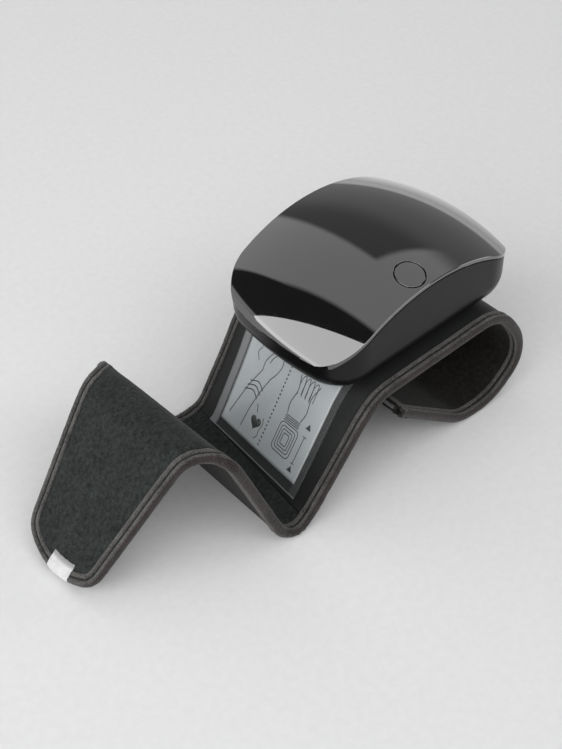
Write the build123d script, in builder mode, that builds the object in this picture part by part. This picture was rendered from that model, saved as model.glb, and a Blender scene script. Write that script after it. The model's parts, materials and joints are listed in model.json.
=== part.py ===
"""Wrist blood pressure monitor: pebble-shaped housing on a soft strap cuff that stands folded on a table.

Millimetres, +Z up. X runs along the strap from the free tail to the loop, Y across it.
The origin is on the table, under the middle of the whole object.
"""

import math
import os

from build123d import *

# Strap: overall width and the layers through its thickness, as offsets from its mid surface
strap_width = 70.0
binding_thickness = 3.8
binding_wall = 0.6
binding_lip = 4.0
outer_top = 1.4
outer_bottom = 0.6
core_bottom = -0.4
bladder_bottom = -0.9
lining_bottom = -1.4
core_width = 60.0
bladder_width = 56.0

# Strap: the route of its mid surface, from the tip of the tail to the curled end
tail_angle = 51.1
ridge_rise = 43.5
ridge_top = 9.7
fall_angle = 66.2
valley_flat = 12.6
rise_angle = 52.9
run_rise = 36.6
run_tilt = 3.5
run_length = 57.9
loop_reach = 12.6
shoulder_height = 24.0
heel_height = 13.0
heel_reach = 12.1
loop_flat = 16.0
curl_angle = 36.3
curl_length = 39.0
core_lead = 1.0

# Strap: bend radii, in the order of the route
ridge_round = 5.0
valley_fall_round = 7.0
valley_rise_round = 9.0
run_round = 10.0
shoulder_round = 16.0
loop_round = 20.0
heel_round = 10.0
sole_round = 18.0
curl_round = 15.0

# Fold of the tail at the ridge
fold_offset = 0.6
fold_clearance = 0.35

# Tail outline in the plane of the tail, measured from the tip and in from the strap's edges
tip_inset = 17.0
tip_bow_radius = 28.8
tip_round = 9.3
taper_end = 50.5
taper_inset = 9.4
flare_length = 8.5
tag_width = 10.0
tag_length = 7.0
tag_thickness = 0.4
tag_drop = 2.7
tag_shift = -1.5
hook_start = 9.0
hook_length = 32.0
hook_width = 24.0
hook_round = 3.0
hook_thickness = 0.5

# Instruction label on the rising stretch, measured from the foot of that stretch
label_start = 5.0
label_length = 35.5
label_width = 42.5
label_thickness = 0.25
film_start = 1.0
film_length = 43.0
film_width = 49.0
film_thickness = 0.5

# Housing: plan, arch and walls
housing_along = 27.5
housing_length = 88.0
housing_width = 61.0
housing_height = 34.4
plan_round = 14.5
arch_radius = 65.0
end_radius = 9.0
crown_radius = 110.0
cover_thickness = 1.2
seal_thickness = 0.4
seal_inset = 0.3
hull_wall = 1.8
hull_draft = 2.0
hull_round = 10.0
lip_margin = 0.02

# Start button and its switch
button_x = -5.0
button_edge = 1.2
button_diameter = 10.6
button_gap = 0.3
flange_reach = 0.7
flange_thickness = 0.8
flange_gap = 0.15
pocket_gap = 0.4
pocket_skin = 1.0
pocket_spare = 1.0
button_travel = 0.5
stem_radius = 1.5
switch_size = 6.0
switch_height = 3.1
plunger_rise = 1.0
plunger_depth = 0.4
plunger_radius = 1.5
plunger_gap = 0.1

# Circuit board and what stands on it, heights above the underside of the housing
pcb_height = 21.0
pcb_thickness = 1.2
pcb_boss_gap = 2.0
pcb_width = 55.0
pcb_round = 8.0
post_inset = 4.0
post_y = 21.0
post_radius = 2.2
display_x = -2.0
display_y = 4.0
display_length = 36.0
display_width = 22.0
display_height = 2.4
guide_margin = 1.0
guide_wall = 1.2
buzzer_x = 18.0
buzzer_y = -14.0
buzzer_radius = 4.5
buzzer_height = 2.0
sensor_y = 4.0
sensor_size = 8.0
sensor_height = 5.0
sensor_port_radius = 1.5

# Charging socket in the back wall
socket_x = 12.0
socket_width = 9.0
socket_height = 3.3
socket_depth = 7.4
socket_wall = 0.35
socket_gap = 0.2
socket_recess = 0.3
tongue_thickness = 0.7

# Battery
battery_x = -11.0
battery_y = 9.0
battery_length = 32.0
battery_width = 18.0
battery_height = 7.0
battery_low = 5.2
battery_round = 1.5
battery_rib = 1.2
battery_ribs = 3

# Air pump, valve and air path
pump_y = -9.5
pump_floor_gap = 1.2
motor_start = -27.0
motor_length = 18.0
motor_radius = 7.0
motor_wall = 0.9
motor_end = 1.4
bell_length = 2.0
rotor_gap = 0.45
rotor_slot = 1.0
rotor_slots = 3
shaft_radius = 0.75
shaft_clearance = 0.05
shaft_end = 0.6
head_length = 13.0
head_radius = 7.5
head_bore = 5.5
crank_length = 7.0
crank_radius = 2.4
crank_offset = 1.0
crank_width = 3.0
diaphragm_radius = 6.5
diaphragm_thickness = 1.5
chamber_length = 2.7
port_radius = 1.6
port_bore = 0.8
port_length = 3.0
bracket_strip = 0.6
bracket_width = 16.0
bracket_thickness = 5.0
manifold_length = 6.0
manifold_width = 21.0
manifold_y = -2.5
manifold_low = 4.0
manifold_above_pump = 2.0
manifold_wall = 1.5
valve_z = 8.0
valve_radius = 4.5
valve_length = 15.0
valve_wall = 1.5
valve_rib = 2.0
plug_radius = 2.0
plug_clearance = 0.05
plug_length = 6.0
nozzle_y = 5.0
nozzle_radius = 2.4
nozzle_bore = 1.2
nozzle_gap = 0.05
nozzle_flange = 1.0

# Screws and their bosses
screw_radius = 1.0
screw_head_radius = 1.9
screw_head_height = 0.9
screw_gap = 0.02
case_boss_end = 13.5
case_boss_side = 16.0
case_boss_low = 5.0
case_boss_radius = 2.5
case_boss_gap = 0.2
case_seat_radius = 3.0
case_bore_depth = 10.0
case_screw_depth = 9.0
cuff_boss_x = 15.0
cuff_boss_y = 17.0
cuff_boss_radius = 2.25
cuff_boss_top = 4.8
cuff_screw_reach = 4.4
pcb_screw_depth = 6.0
pcb_head_height = 1.2

os.makedirs("parts", exist_ok=True)

upward = (Align.CENTER, Align.CENTER, Align.MIN)
beyond = 25.0
margin = 1.0


def polar_step(point, length, angle):
    """The point at a length and an angle in degrees from another one, in the X Z plane."""
    turn = math.radians(angle)
    return (point[0] + length * math.cos(turn), point[1] + length * math.sin(turn))


# Corners of the strap's route in X and Z, worked out from the foot of the fall, then centred on the origin
ground = binding_thickness / 2
fall_foot = (0.0, ground)
rise_foot = (valley_flat, ground)
ridge_right = (-ridge_rise / math.tan(math.radians(fall_angle)), ground + ridge_rise)
ridge_left = (ridge_right[0] - ridge_top, ridge_right[1])
tip_height = ground * math.cos(math.radians(tail_angle))
tail_length = (ridge_left[1] - tip_height) / math.sin(math.radians(tail_angle))
tip = polar_step(ridge_left, tail_length, 180 + tail_angle)
run_foot = (rise_foot[0] + run_rise / math.tan(math.radians(rise_angle)), ground + run_rise)
run_end = polar_step(run_foot, run_length, run_tilt)
shoulder = (run_end[0] + loop_reach, shoulder_height)
heel = (shoulder[0], heel_height)
sole = (heel[0] - heel_reach, ground)
curl_foot = (sole[0] - loop_flat, ground)
curl_end = polar_step(curl_foot, curl_length, 180 - curl_angle)

tag_reach = (ground + tag_thickness) * math.sin(math.radians(tail_angle))
tag_reach += tag_thickness * math.cos(math.radians(tail_angle))
shift = -(tip[0] - tag_reach + shoulder[0] + ground) / 2
route = [tip, ridge_left, ridge_right, fall_foot, rise_foot, run_foot]
route += [run_end, shoulder, heel, sole, curl_foot, curl_end]
route = [(x + shift, z) for x, z in route]
tip, ridge_left = route[0], route[1]
run_foot = route[5]

# The fold line lies on the flat top of the ridge, and the stiff core starts a little way along the run
fold_x = ridge_left[0] + ridge_round * math.tan(math.radians(tail_angle / 2)) + fold_offset
fold_line = (fold_x, ridge_left[1])
tail_reach = (fold_x + ground, ridge_left[1])
run_bend = run_round * math.tan(math.radians((rise_angle - run_tilt) / 2))
core_start = polar_step(run_foot, run_bend + core_lead, run_tilt)
body_bends = [ridge_round, valley_fall_round, valley_rise_round, run_round]
loop_bends = [shoulder_round, loop_round, heel_round, sole_round, curl_round]

with BuildLine(Plane.XZ) as tail_route:
    FilletPolyline(tip, ridge_left, tail_reach, radius=[ridge_round])

with BuildLine(Plane.XZ) as body_route:
    FilletPolyline(fold_line, *route[2:], radius=body_bends + loop_bends)

with BuildLine(Plane.XZ) as padded_route:
    FilletPolyline(fold_line, *route[2:6], core_start, radius=body_bends)

with BuildLine(Plane.XZ) as loop_route:
    FilletPolyline(core_start, *route[6:], radius=loop_bends)

half_strap = strap_width / 2
fabric_width = strap_width - 2 * binding_wall


def start_plane(path):
    """Section plane at the start of a path: x across the strap, y towards its outer side."""
    return Plane(origin=path.line @ 0, x_dir=(0, 1, 0), z_dir=path.line % 0)


def layer(path, width, low, high):
    """One layer of the strap: a flat section between two offsets, swept along a path."""
    with BuildPart() as strip:
        with BuildSketch(start_plane(path)):
            with Locations((0, (low + high) / 2)):
                Rectangle(width, high - low)
        sweep(path=path.line)
    return strip.part


# Housing frame: its origin is in the middle of the flat underside, on the outer fabric of the run
seat = polar_step(run_foot, housing_along, run_tilt)
seat = polar_step(seat, outer_top, 90 + run_tilt)
tilt = math.radians(run_tilt)
base = Plane(
    origin=(seat[0], 0, seat[1]),
    x_dir=(math.cos(tilt), 0, math.sin(tilt)),
    z_dir=(-math.sin(tilt), 0, math.cos(tilt)),
)

half_length = housing_length / 2
half_width = housing_width / 2
draft = math.tan(math.radians(hull_draft))
junction = math.degrees(math.asin((half_length - end_radius) / (arch_radius - end_radius)))
end_turn = 90 - junction
arch_centre = housing_height - arch_radius
lip_height = arch_centre + (arch_radius - end_radius) * math.cos(math.radians(junction))
crown_drop = crown_radius - math.sqrt(crown_radius**2 - half_width**2)
crease_height = housing_height - crown_drop
foot_length = half_length + lip_margin - lip_height * draft
foot_width = half_width - crease_height * draft
crown_reach = half_width + margin
button_y = button_diameter / 2 + button_edge - half_width
case_boss_x = half_length - case_boss_end
case_boss_y = half_width - case_boss_side
pcb_length = 2 * (case_boss_x - case_boss_radius - pcb_boss_gap)
post_x = pcb_length / 2 - post_inset
pump_z = hull_wall + pump_floor_gap + motor_radius
manifold_high = pump_z + manifold_above_pump
pcb_top = pcb_height + pcb_thickness


# Helper solids of the housing stand in its own frame, with the underside at zero height
roll_centre = half_length - end_radius
junction_turn = math.radians(junction)
junction_plane = Plane(
    origin=(-arch_radius * math.sin(junction_turn), 0, arch_centre + arch_radius * math.cos(junction_turn)),
    x_dir=(0, 1, 0),
    z_dir=(math.cos(junction_turn), 0, math.sin(junction_turn)),
)
lip_plane = Plane(origin=(-half_length, 0, lip_height), x_dir=(0, 1, 0), z_dir=(0, 0, 1))


def crown_section(plane, low_depth, high_depth):
    """Section of a crowned shell between two depths under the outer surface, square to the arch line."""
    low_end, high_end = [
        math.sqrt((crown_radius - depth) ** 2 - crown_reach**2) - crown_radius
        for depth in (low_depth, high_depth)
    ]
    with BuildSketch(plane) as section:
        with BuildLine():
            ThreePointArc((-crown_reach, low_end), (0, -low_depth), (crown_reach, low_end))
            ThreePointArc((-crown_reach, high_end), (0, -high_depth), (crown_reach, high_end))
            Line((-crown_reach, low_end), (-crown_reach, high_end))
            Line((crown_reach, low_end), (crown_reach, high_end))
        make_face()
    return section.sketch


def crowned(low_depth, high_depth, drop=0.0):
    """A crowned shell over the arch and its rolled ends, with straight ends of a given drop."""
    left_section = crown_section(junction_plane, low_depth, high_depth)
    left_lip = crown_section(lip_plane, low_depth, high_depth)
    sections = ((-1, left_section, left_lip), (1, left_section.mirror(Plane.YZ), left_lip.mirror(Plane.YZ)))
    with BuildPart() as shell:
        revolve(left_section, axis=Axis((0, 0, arch_centre), (0, 1, 0)), revolution_arc=2 * junction)
        for hand, section, lip in sections:
            roll_axis = Axis((hand * roll_centre, 0, lip_height), (0, hand, 0))
            revolve(section, axis=roll_axis, revolution_arc=end_turn)
            if drop > 0:
                extrude(lip, amount=drop, dir=(0, 0, -1))
    return shell.part


def drafted(inset, low):
    """Body of the housing's plan from a height up past the arch, growing by the draft of the walls."""
    length = foot_length + low * draft - inset
    width = foot_width + low * draft - inset
    bow = crown_radius - math.sqrt(crown_radius**2 - width**2)
    with BuildPart() as body:
        with BuildSketch(Plane.XY.offset(low)) as outline:
            with BuildLine():
                Line((bow - length, width), (length - bow, width))
                ThreePointArc((length - bow, width), (length, 0), (length - bow, -width))
                Line((length - bow, -width), (bow - length, -width))
                ThreePointArc((bow - length, -width), (-length, 0), (bow - length, width))
            make_face()
            fillet(outline.vertices(), plan_round - inset)
        extrude(amount=housing_height + margin - low, taper=-hull_draft)
    return body.part


def rolled(inset, low):
    """Drafted body whose bottom edge is rolled under."""
    with BuildPart() as body:
        add(drafted(inset, low))
        fillet(body.faces().sort_by(Axis.Z)[0].edges(), hull_round - inset)
    return body.part


hull_block = rolled(0.0, 0.0)
above_cover_inside = crowned(cover_thickness, -beyond)
above_hull = crowned(cover_thickness + seal_thickness, -beyond, seal_thickness)
above_cover_middle = crowned(cover_thickness / 2, -beyond)

# Pocket in the hull's rim, where the button's flange moves
flange_radius = button_diameter / 2 + flange_reach
flange_low = crease_height - cover_thickness - flange_gap - flange_thickness
pocket_low = flange_low - button_travel - 2 * pocket_gap - pocket_spare
with BuildPart() as button_pocket:
    with Locations((button_x, button_y, pocket_low)):
        Cylinder(flange_radius + pocket_gap, housing_height, align=upward)
    Box(housing_length, 2 * (half_width - pocket_skin), 3 * housing_height, mode=Mode.INTERSECT)

# Top cover: glossy arched shell with a round hole for the button, and four screw bosses
case_bosses = [(x, y, case_boss_low) for x in (-case_boss_x, case_boss_x) for y in (-case_boss_y, case_boss_y)]
with BuildPart() as cover_shell:
    add(crowned(cover_thickness, 0.0))
    add(drafted(0.0, 0.0), mode=Mode.INTERSECT)
    with Locations((button_x, button_y, case_boss_low)):
        Cylinder(button_diameter / 2, housing_height, align=upward, mode=Mode.SUBTRACT)

with BuildPart() as cover_bosses:
    with Locations(*case_bosses):
        Cylinder(case_boss_radius, housing_height - case_boss_low, align=upward)
    add(above_cover_middle, mode=Mode.SUBTRACT)
    add(rolled(hull_wall + case_boss_gap, hull_wall), mode=Mode.INTERSECT)
    with Locations(*case_bosses):
        Cylinder(screw_radius + screw_gap, case_bore_depth, align=upward, mode=Mode.SUBTRACT)

with BuildPart(base) as top_cover:
    add(cover_shell.part)
    add(cover_bosses.part)
top_cover.part.label = "top_cover"
export_step(top_cover.part, "parts/top_cover.step")

# Seal between cover and hull, all the way round the rim
with BuildPart(base) as cover_seal:
    add(drafted(seal_inset, 0.0))
    add(drafted(hull_wall, 0.0), mode=Mode.SUBTRACT)
    add(above_hull, mode=Mode.INTERSECT)
    add(above_cover_inside, mode=Mode.SUBTRACT)
    add(button_pocket.part, mode=Mode.SUBTRACT)
cover_seal.part.label = "cover_seal"
export_step(cover_seal.part, "parts/cover_seal.step")

# Lower housing: thin hull with posts for the board, seats for the screws and ribs under battery and valve
cuff_bosses = [(x, y, hull_wall / 2) for x in (-cuff_boss_x, cuff_boss_x) for y in (-cuff_boss_y, cuff_boss_y)]
posts = [(x, y, hull_wall / 2) for x in (-post_x, post_x) for y in (-post_y, post_y)]
case_seats = [(x, y, hull_wall / 2) for x, y, z in case_bosses]
rib_pitch = battery_length / battery_ribs
head_start = motor_start + motor_length
manifold_start = head_start + head_length + port_length
manifold_x = manifold_start + manifold_length / 2
valve_start = manifold_start + manifold_length
with BuildPart() as housing_posts:
    with Locations(*posts):
        Cylinder(post_radius, pcb_height - hull_wall / 2, align=upward)
    with Locations(*case_seats):
        Cylinder(case_seat_radius, case_boss_low - hull_wall / 2, align=upward)
    with Locations(*cuff_bosses):
        Cylinder(cuff_boss_radius, cuff_boss_top - hull_wall / 2, align=upward)
    with Locations((battery_x, battery_y, hull_wall / 2)):
        with GridLocations(rib_pitch, 1, battery_ribs, 1):
            Box(battery_rib, battery_width, battery_low - hull_wall / 2, align=upward)
    with Locations((valve_start + valve_length / 2, pump_y, hull_wall / 2)):
        Box(valve_length / 2, valve_rib, valve_z - hull_wall / 2, align=upward)
    with Locations((valve_start, pump_y, valve_z)):
        Cylinder(valve_radius, 3 * valve_length, rotation=(0, 90, 0), mode=Mode.SUBTRACT)
    with Locations((manifold_x, manifold_y - manifold_width / 4, hull_wall / 2)):
        Box(manifold_length, valve_rib, manifold_low - hull_wall / 2, align=upward, mode=Mode.ADD)
    add(hull_block, mode=Mode.INTERSECT)

with BuildPart() as hull_walls:
    add(hull_block)
    add(rolled(hull_wall, hull_wall), mode=Mode.SUBTRACT)

socket_z = pcb_height - socket_height / 2
wall_outside = foot_width + socket_z * draft
with BuildPart(base) as lower_housing:
    add(hull_walls.part)
    add(housing_posts.part)
    add(above_hull, mode=Mode.SUBTRACT)
    add(button_pocket.part, mode=Mode.SUBTRACT)
    with Locations((socket_x, wall_outside, socket_z)):
        Box(socket_width + 2 * socket_gap, 4 * hull_wall, socket_height + 2 * socket_gap, mode=Mode.SUBTRACT)
    with Locations((manifold_x, nozzle_y, 0)):
        Cylinder(nozzle_radius + nozzle_gap, 4 * hull_wall, mode=Mode.SUBTRACT)
    with Locations(*[(x, y, 0) for x, y, z in case_bosses]):
        Cone(
            screw_head_radius + screw_gap,
            screw_radius + screw_gap,
            screw_head_height,
            align=upward,
            mode=Mode.SUBTRACT,
        )
        Cylinder(screw_radius + screw_gap, 2 * case_boss_low, mode=Mode.SUBTRACT)
    with Locations(*[(x, y, 0) for x, y, z in cuff_bosses]):
        Cylinder(screw_radius + screw_gap, cuff_screw_reach, align=upward, mode=Mode.SUBTRACT)
    with Locations(*[(x, y, pcb_height - pcb_screw_depth) for x, y, z in posts]):
        Cylinder(screw_radius + screw_gap, pcb_screw_depth, align=upward, mode=Mode.SUBTRACT)
lower_housing.part.label = "lower_housing"
export_step(lower_housing.part, "parts/lower_housing.step")

# Start button: cap flush with the crowned cover, held from below by a flange, with a stem to the switch
switch_top = pcb_top + switch_height
plunger_top = switch_top + plunger_rise
button_base = cover_thickness + flange_gap + flange_thickness
with BuildPart() as button_flange:
    with Locations((button_x, button_y, switch_top)):
        Cylinder(flange_radius, housing_height, align=upward)
    add(crowned(button_base, cover_thickness + flange_gap), mode=Mode.INTERSECT)
    Box(housing_length, 2 * (half_width - pocket_skin - pocket_gap), 3 * housing_height, mode=Mode.INTERSECT)

with BuildPart() as button_cap:
    with Locations((button_x, button_y, switch_top)):
        Cylinder(button_diameter / 2 - button_gap, housing_height, align=upward)
    add(crowned(button_base, 0.0), mode=Mode.INTERSECT)

with BuildPart() as button_stem:
    with Locations((button_x, button_y, plunger_top)):
        Cylinder(stem_radius, housing_height - plunger_top, align=upward)
    add(above_cover_middle, mode=Mode.SUBTRACT)

with BuildPart(base) as start_button:
    add(button_cap.part)
    add(button_flange.part)
    add(button_stem.part)
start_button.part.label = "start_button"
export_step(start_button.part, "parts/start_button.step")

# Key switch on the board, and the plunger that the button's stem rests on
with BuildPart(base) as button_switch:
    with Locations((button_x, button_y, pcb_top)):
        Box(switch_size, switch_size, switch_height, align=upward)
    with Locations((button_x, button_y, switch_top - button_travel - plunger_depth - plunger_gap)):
        Cylinder(plunger_radius + plunger_gap, switch_height, align=upward, mode=Mode.SUBTRACT)
button_switch.part.label = "button_switch"
export_step(button_switch.part, "parts/button_switch.step")

with BuildPart(base) as switch_plunger:
    with Locations((button_x, button_y, switch_top - plunger_depth)):
        Cylinder(plunger_radius, plunger_rise + plunger_depth, align=upward)
switch_plunger.part.label = "switch_plunger"
export_step(switch_plunger.part, "parts/switch_plunger.step")

# Circuit board on its four posts
with BuildPart(base) as main_pcb:
    with BuildSketch(base.offset(pcb_height)):
        RectangleRounded(pcb_length, pcb_width, pcb_round)
        with Locations(*[(x, y) for x, y, z in posts]):
            Circle(screw_radius + screw_gap, mode=Mode.SUBTRACT)
    extrude(amount=pcb_thickness)
main_pcb.part.label = "main_pcb"
export_step(main_pcb.part, "parts/main_pcb.step")

with BuildPart(base) as pcb_screws:
    with Locations(*[(x, y, pcb_height - pcb_screw_depth + screw_gap) for x, y, z in posts]):
        Cylinder(screw_radius, pcb_screw_depth + pcb_thickness, align=upward)
    with Locations(*[(x, y, pcb_top) for x, y, z in posts]):
        Cylinder(screw_head_radius, pcb_head_height, align=upward)
pcb_screws.part.label = "pcb_screws"
export_step(pcb_screws.part, "parts/pcb_screws.step")

# Screws from below into the cover's bosses, countersunk in the hull
with BuildPart(base) as case_screws:
    with Locations(*[(x, y, 0) for x, y, z in case_bosses]):
        Cone(screw_head_radius, screw_radius, screw_head_height, align=upward)
        Cylinder(screw_radius, case_boss_low + case_screw_depth, align=upward)
case_screws.part.label = "case_screws"
export_step(case_screws.part, "parts/case_screws.step")

# Display behind the dark cover, and the frame that guides its light up to the cover
with BuildPart(base) as display_module:
    with Locations((display_x, display_y, pcb_top)):
        Box(display_length, display_width, display_height, align=upward)
display_module.part.label = "display_module"
export_step(display_module.part, "parts/display_module.step")

guide_length = display_length - 2 * guide_margin
guide_width = display_width - 2 * guide_margin
with BuildPart(base) as display_light_guide:
    with Locations((display_x, display_y, pcb_top + display_height)):
        Box(guide_length, guide_width, housing_height / 2, align=upward)
        Box(
            guide_length - 2 * guide_wall,
            guide_width - 2 * guide_wall,
            housing_height,
            align=upward,
            mode=Mode.SUBTRACT,
        )
    add(above_hull, mode=Mode.SUBTRACT)
display_light_guide.part.label = "display_light_guide"
export_step(display_light_guide.part, "parts/display_light_guide.step")

# Small parts on the board: buzzer above, pressure sensor below with its port down to the manifold
with BuildPart(base) as buzzer:
    with Locations((buzzer_x, buzzer_y, pcb_top)):
        Cylinder(buzzer_radius, buzzer_height, align=upward)
        Cylinder(buzzer_radius / 4, 3 * buzzer_height, mode=Mode.SUBTRACT)
buzzer.part.label = "buzzer"
export_step(buzzer.part, "parts/buzzer.step")

sensor_low = pcb_height - sensor_height
with BuildPart(base) as pressure_sensor:
    with Locations((manifold_x, sensor_y, sensor_low)):
        Box(sensor_size, sensor_size, sensor_height, align=upward)
    with Locations((manifold_x, sensor_y, manifold_high)):
        Cylinder(sensor_port_radius, sensor_low - manifold_high, align=upward)
        Cylinder(sensor_port_radius / 2, sensor_low - manifold_high, align=upward, mode=Mode.SUBTRACT)
pressure_sensor.part.label = "pressure_sensor"
export_step(pressure_sensor.part, "parts/pressure_sensor.step")

# Charging socket: a hollow shell under the board's back edge, open through the wall, with its tongue
socket_plane = Plane(
    origin=base.from_local_coords((socket_x, wall_outside - socket_recess, socket_z)),
    x_dir=base.x_dir,
    z_dir=(0, -1, 0),
)
with BuildPart() as charging_socket:
    with BuildSketch(socket_plane):
        RectangleRounded(socket_width, socket_height, socket_height / 2 - socket_wall)
    extrude(amount=socket_depth)
    with BuildSketch(socket_plane):
        RectangleRounded(
            socket_width - 2 * socket_wall,
            socket_height - 2 * socket_wall,
            socket_height / 2 - 2 * socket_wall,
        )
        Rectangle(socket_width - socket_height, tongue_thickness, mode=Mode.SUBTRACT)
    extrude(amount=socket_depth - 2 * socket_wall, mode=Mode.SUBTRACT)
charging_socket.part.label = "charging_socket"
export_step(charging_socket.part, "parts/charging_socket.step")

# Battery on its ribs
with BuildPart(base) as battery_cell:
    with Locations((battery_x, battery_y, battery_low)):
        Box(battery_length, battery_width, battery_height, align=upward)
    fillet(battery_cell.edges().filter_by(Axis(base.origin, base.x_dir)), battery_round)
battery_cell.part.label = "battery_cell"
export_step(battery_cell.part, "parts/battery_cell.step")

# Air pump: motor can with its end bell, lying along the housing
lying = (0, 90, 0)
motor_inside = motor_radius - motor_wall
can_length = motor_length - bell_length
with BuildPart(base) as pump_motor_can:
    with Locations((motor_start, pump_y, pump_z)):
        Cylinder(motor_radius, can_length, rotation=lying, align=upward)
    with Locations((motor_start + motor_end, pump_y, pump_z)):
        Cylinder(motor_inside, can_length, rotation=lying, align=upward, mode=Mode.SUBTRACT)
    with Locations((motor_start + shaft_end / 2, pump_y, pump_z)):
        Cylinder(shaft_radius + shaft_clearance, motor_length, rotation=lying, align=upward, mode=Mode.SUBTRACT)
pump_motor_can.part.label = "pump_motor_can"
export_step(pump_motor_can.part, "parts/pump_motor_can.step")

with BuildPart(base) as motor_end_bell:
    with Locations((motor_start + can_length, pump_y, pump_z)):
        Cylinder(motor_radius, bell_length, rotation=lying, align=upward)
        Cylinder(shaft_radius + shaft_clearance, bell_length, rotation=lying, align=upward, mode=Mode.SUBTRACT)
motor_end_bell.part.label = "motor_end_bell"
export_step(motor_end_bell.part, "parts/motor_end_bell.step")

# Rotor: slotted armature on its shaft, with the eccentric that drives the diaphragm
armature_start = motor_start + motor_end + rotor_gap
armature_length = can_length - motor_end - 2 * rotor_gap
armature_radius = motor_inside - rotor_gap
eccentric_start = head_start + (crank_length - crank_width) / 2
shaft_length = eccentric_start + crank_width - motor_start - shaft_end
with BuildPart(base) as motor_rotor:
    with Locations((armature_start, pump_y, pump_z)):
        Cylinder(armature_radius, armature_length, rotation=lying, align=upward)
    with Locations((armature_start + armature_length / 2, pump_y, pump_z)):
        for turn in range(rotor_slots):
            Box(
                armature_length,
                rotor_slot,
                armature_radius,
                rotation=(360 * turn / rotor_slots, 0, 0),
                align=upward,
                mode=Mode.SUBTRACT,
            )
    with Locations((armature_start, pump_y, pump_z)):
        Cylinder(2 * shaft_radius, armature_length, rotation=lying, align=upward)
    with Locations((motor_start + shaft_end, pump_y, pump_z)):
        Cylinder(shaft_radius, shaft_length, rotation=lying, align=upward)
    with Locations((eccentric_start, pump_y, pump_z + crank_offset)):
        Cylinder(crank_radius, crank_width, rotation=lying, align=upward)
motor_rotor.part.label = "motor_rotor"
export_step(motor_rotor.part, "parts/motor_rotor.step")

# Pump head: crank room, seat of the diaphragm, chamber and outlet port, as one turned profile
diaphragm_start = head_start + crank_length
chamber_start = diaphragm_start + diaphragm_thickness
chamber_end = chamber_start + chamber_length
head_end = head_start + head_length
with BuildPart(base) as pump_head:
    with Locations((head_start, pump_y, pump_z)):
        Cylinder(head_radius, head_length, rotation=lying, align=upward)
        Cylinder(head_bore, chamber_end - head_start, rotation=lying, align=upward, mode=Mode.SUBTRACT)
    with Locations((diaphragm_start, pump_y, pump_z)):
        Cylinder(diaphragm_radius, diaphragm_thickness, rotation=lying, align=upward, mode=Mode.SUBTRACT)
    with Locations((head_end, pump_y, pump_z)):
        Cylinder(port_radius, port_length, rotation=lying, align=upward)
    with Locations((chamber_end, pump_y, pump_z)):
        Cylinder(port_bore, head_length + port_length, rotation=lying, align=upward, mode=Mode.SUBTRACT)
pump_head.part.label = "pump_head"
export_step(pump_head.part, "parts/pump_head.step")

with BuildPart(base) as pump_diaphragm:
    with Locations((diaphragm_start, pump_y, pump_z)):
        Cylinder(diaphragm_radius, diaphragm_thickness, rotation=lying, align=upward)
pump_diaphragm.part.label = "pump_diaphragm"
export_step(pump_diaphragm.part, "parts/pump_diaphragm.step")

# Bracket: one saddle under the motor and one under the pump head, joined by a strip on the floor
saddle_motor_x = motor_start + motor_length / 3
saddle_head_x = head_start + head_length / 2
with BuildPart(base) as pump_bracket:
    with Locations(((saddle_motor_x + saddle_head_x) / 2, pump_y, hull_wall)):
        Box(saddle_head_x - saddle_motor_x, head_radius, bracket_strip, align=upward)
    with Locations((saddle_motor_x, pump_y, hull_wall), (saddle_head_x, pump_y, hull_wall)):
        Box(bracket_thickness, bracket_width, pump_z - motor_radius / 2 - hull_wall, align=upward)
    with Locations((motor_start, pump_y, pump_z)):
        Cylinder(motor_radius, motor_length, rotation=lying, align=upward, mode=Mode.SUBTRACT)
    with Locations((head_start, pump_y, pump_z)):
        Cylinder(head_radius, head_length, rotation=lying, align=upward, mode=Mode.SUBTRACT)
pump_bracket.part.label = "pump_bracket"
export_step(pump_bracket.part, "parts/pump_bracket.step")

# Manifold: block that joins pump, valve, sensor and the nozzle to the cuff
with BuildPart(base) as air_manifold:
    with Locations((manifold_x, manifold_y, manifold_low)):
        Box(manifold_length, manifold_width, manifold_high - manifold_low, align=upward)
    with Locations((manifold_x, manifold_y, (manifold_low + manifold_high) / 2)):
        Cylinder(
            manifold_length / 2 - manifold_wall,
            manifold_width - 2 * manifold_wall,
            rotation=(90, 0, 0),
            mode=Mode.SUBTRACT,
        )
    with Locations((manifold_start, pump_y, pump_z)):
        Cylinder(port_bore, manifold_length, rotation=lying, mode=Mode.SUBTRACT)
    with Locations((valve_start, pump_y, valve_z)):
        Cylinder(port_bore, manifold_length, rotation=lying, mode=Mode.SUBTRACT)
    with Locations((manifold_x, sensor_y, manifold_high)):
        Cylinder(sensor_port_radius / 2, manifold_high - manifold_low, mode=Mode.SUBTRACT)
    with Locations((manifold_x, nozzle_y, manifold_low)):
        Cylinder(nozzle_bore, manifold_high - manifold_low, mode=Mode.SUBTRACT)
air_manifold.part.label = "air_manifold"
export_step(air_manifold.part, "parts/air_manifold.step")

# Exhaust valve and the plunger that slides in its bore
bore_start = valve_start + valve_wall
bore_length = valve_length - 2 * valve_wall
with BuildPart(base) as exhaust_valve:
    with Locations((valve_start, pump_y, valve_z)):
        Cylinder(valve_radius, valve_length, rotation=lying, align=upward)
        Cylinder(port_bore, valve_length / 2, rotation=lying, align=upward, mode=Mode.SUBTRACT)
    with Locations((bore_start, pump_y, valve_z)):
        Cylinder(plug_radius + plug_clearance, bore_length, rotation=lying, align=upward, mode=Mode.SUBTRACT)
        Cylinder(port_bore, 2 * valve_radius, align=upward, mode=Mode.SUBTRACT)
exhaust_valve.part.label = "exhaust_valve"
export_step(exhaust_valve.part, "parts/exhaust_valve.step")

with BuildPart(base) as valve_plunger:
    with Locations((bore_start + plug_clearance, pump_y, valve_z)):
        Cylinder(plug_radius, plug_length, rotation=lying, align=upward)
valve_plunger.part.label = "valve_plunger"
export_step(valve_plunger.part, "parts/valve_plunger.step")

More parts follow.
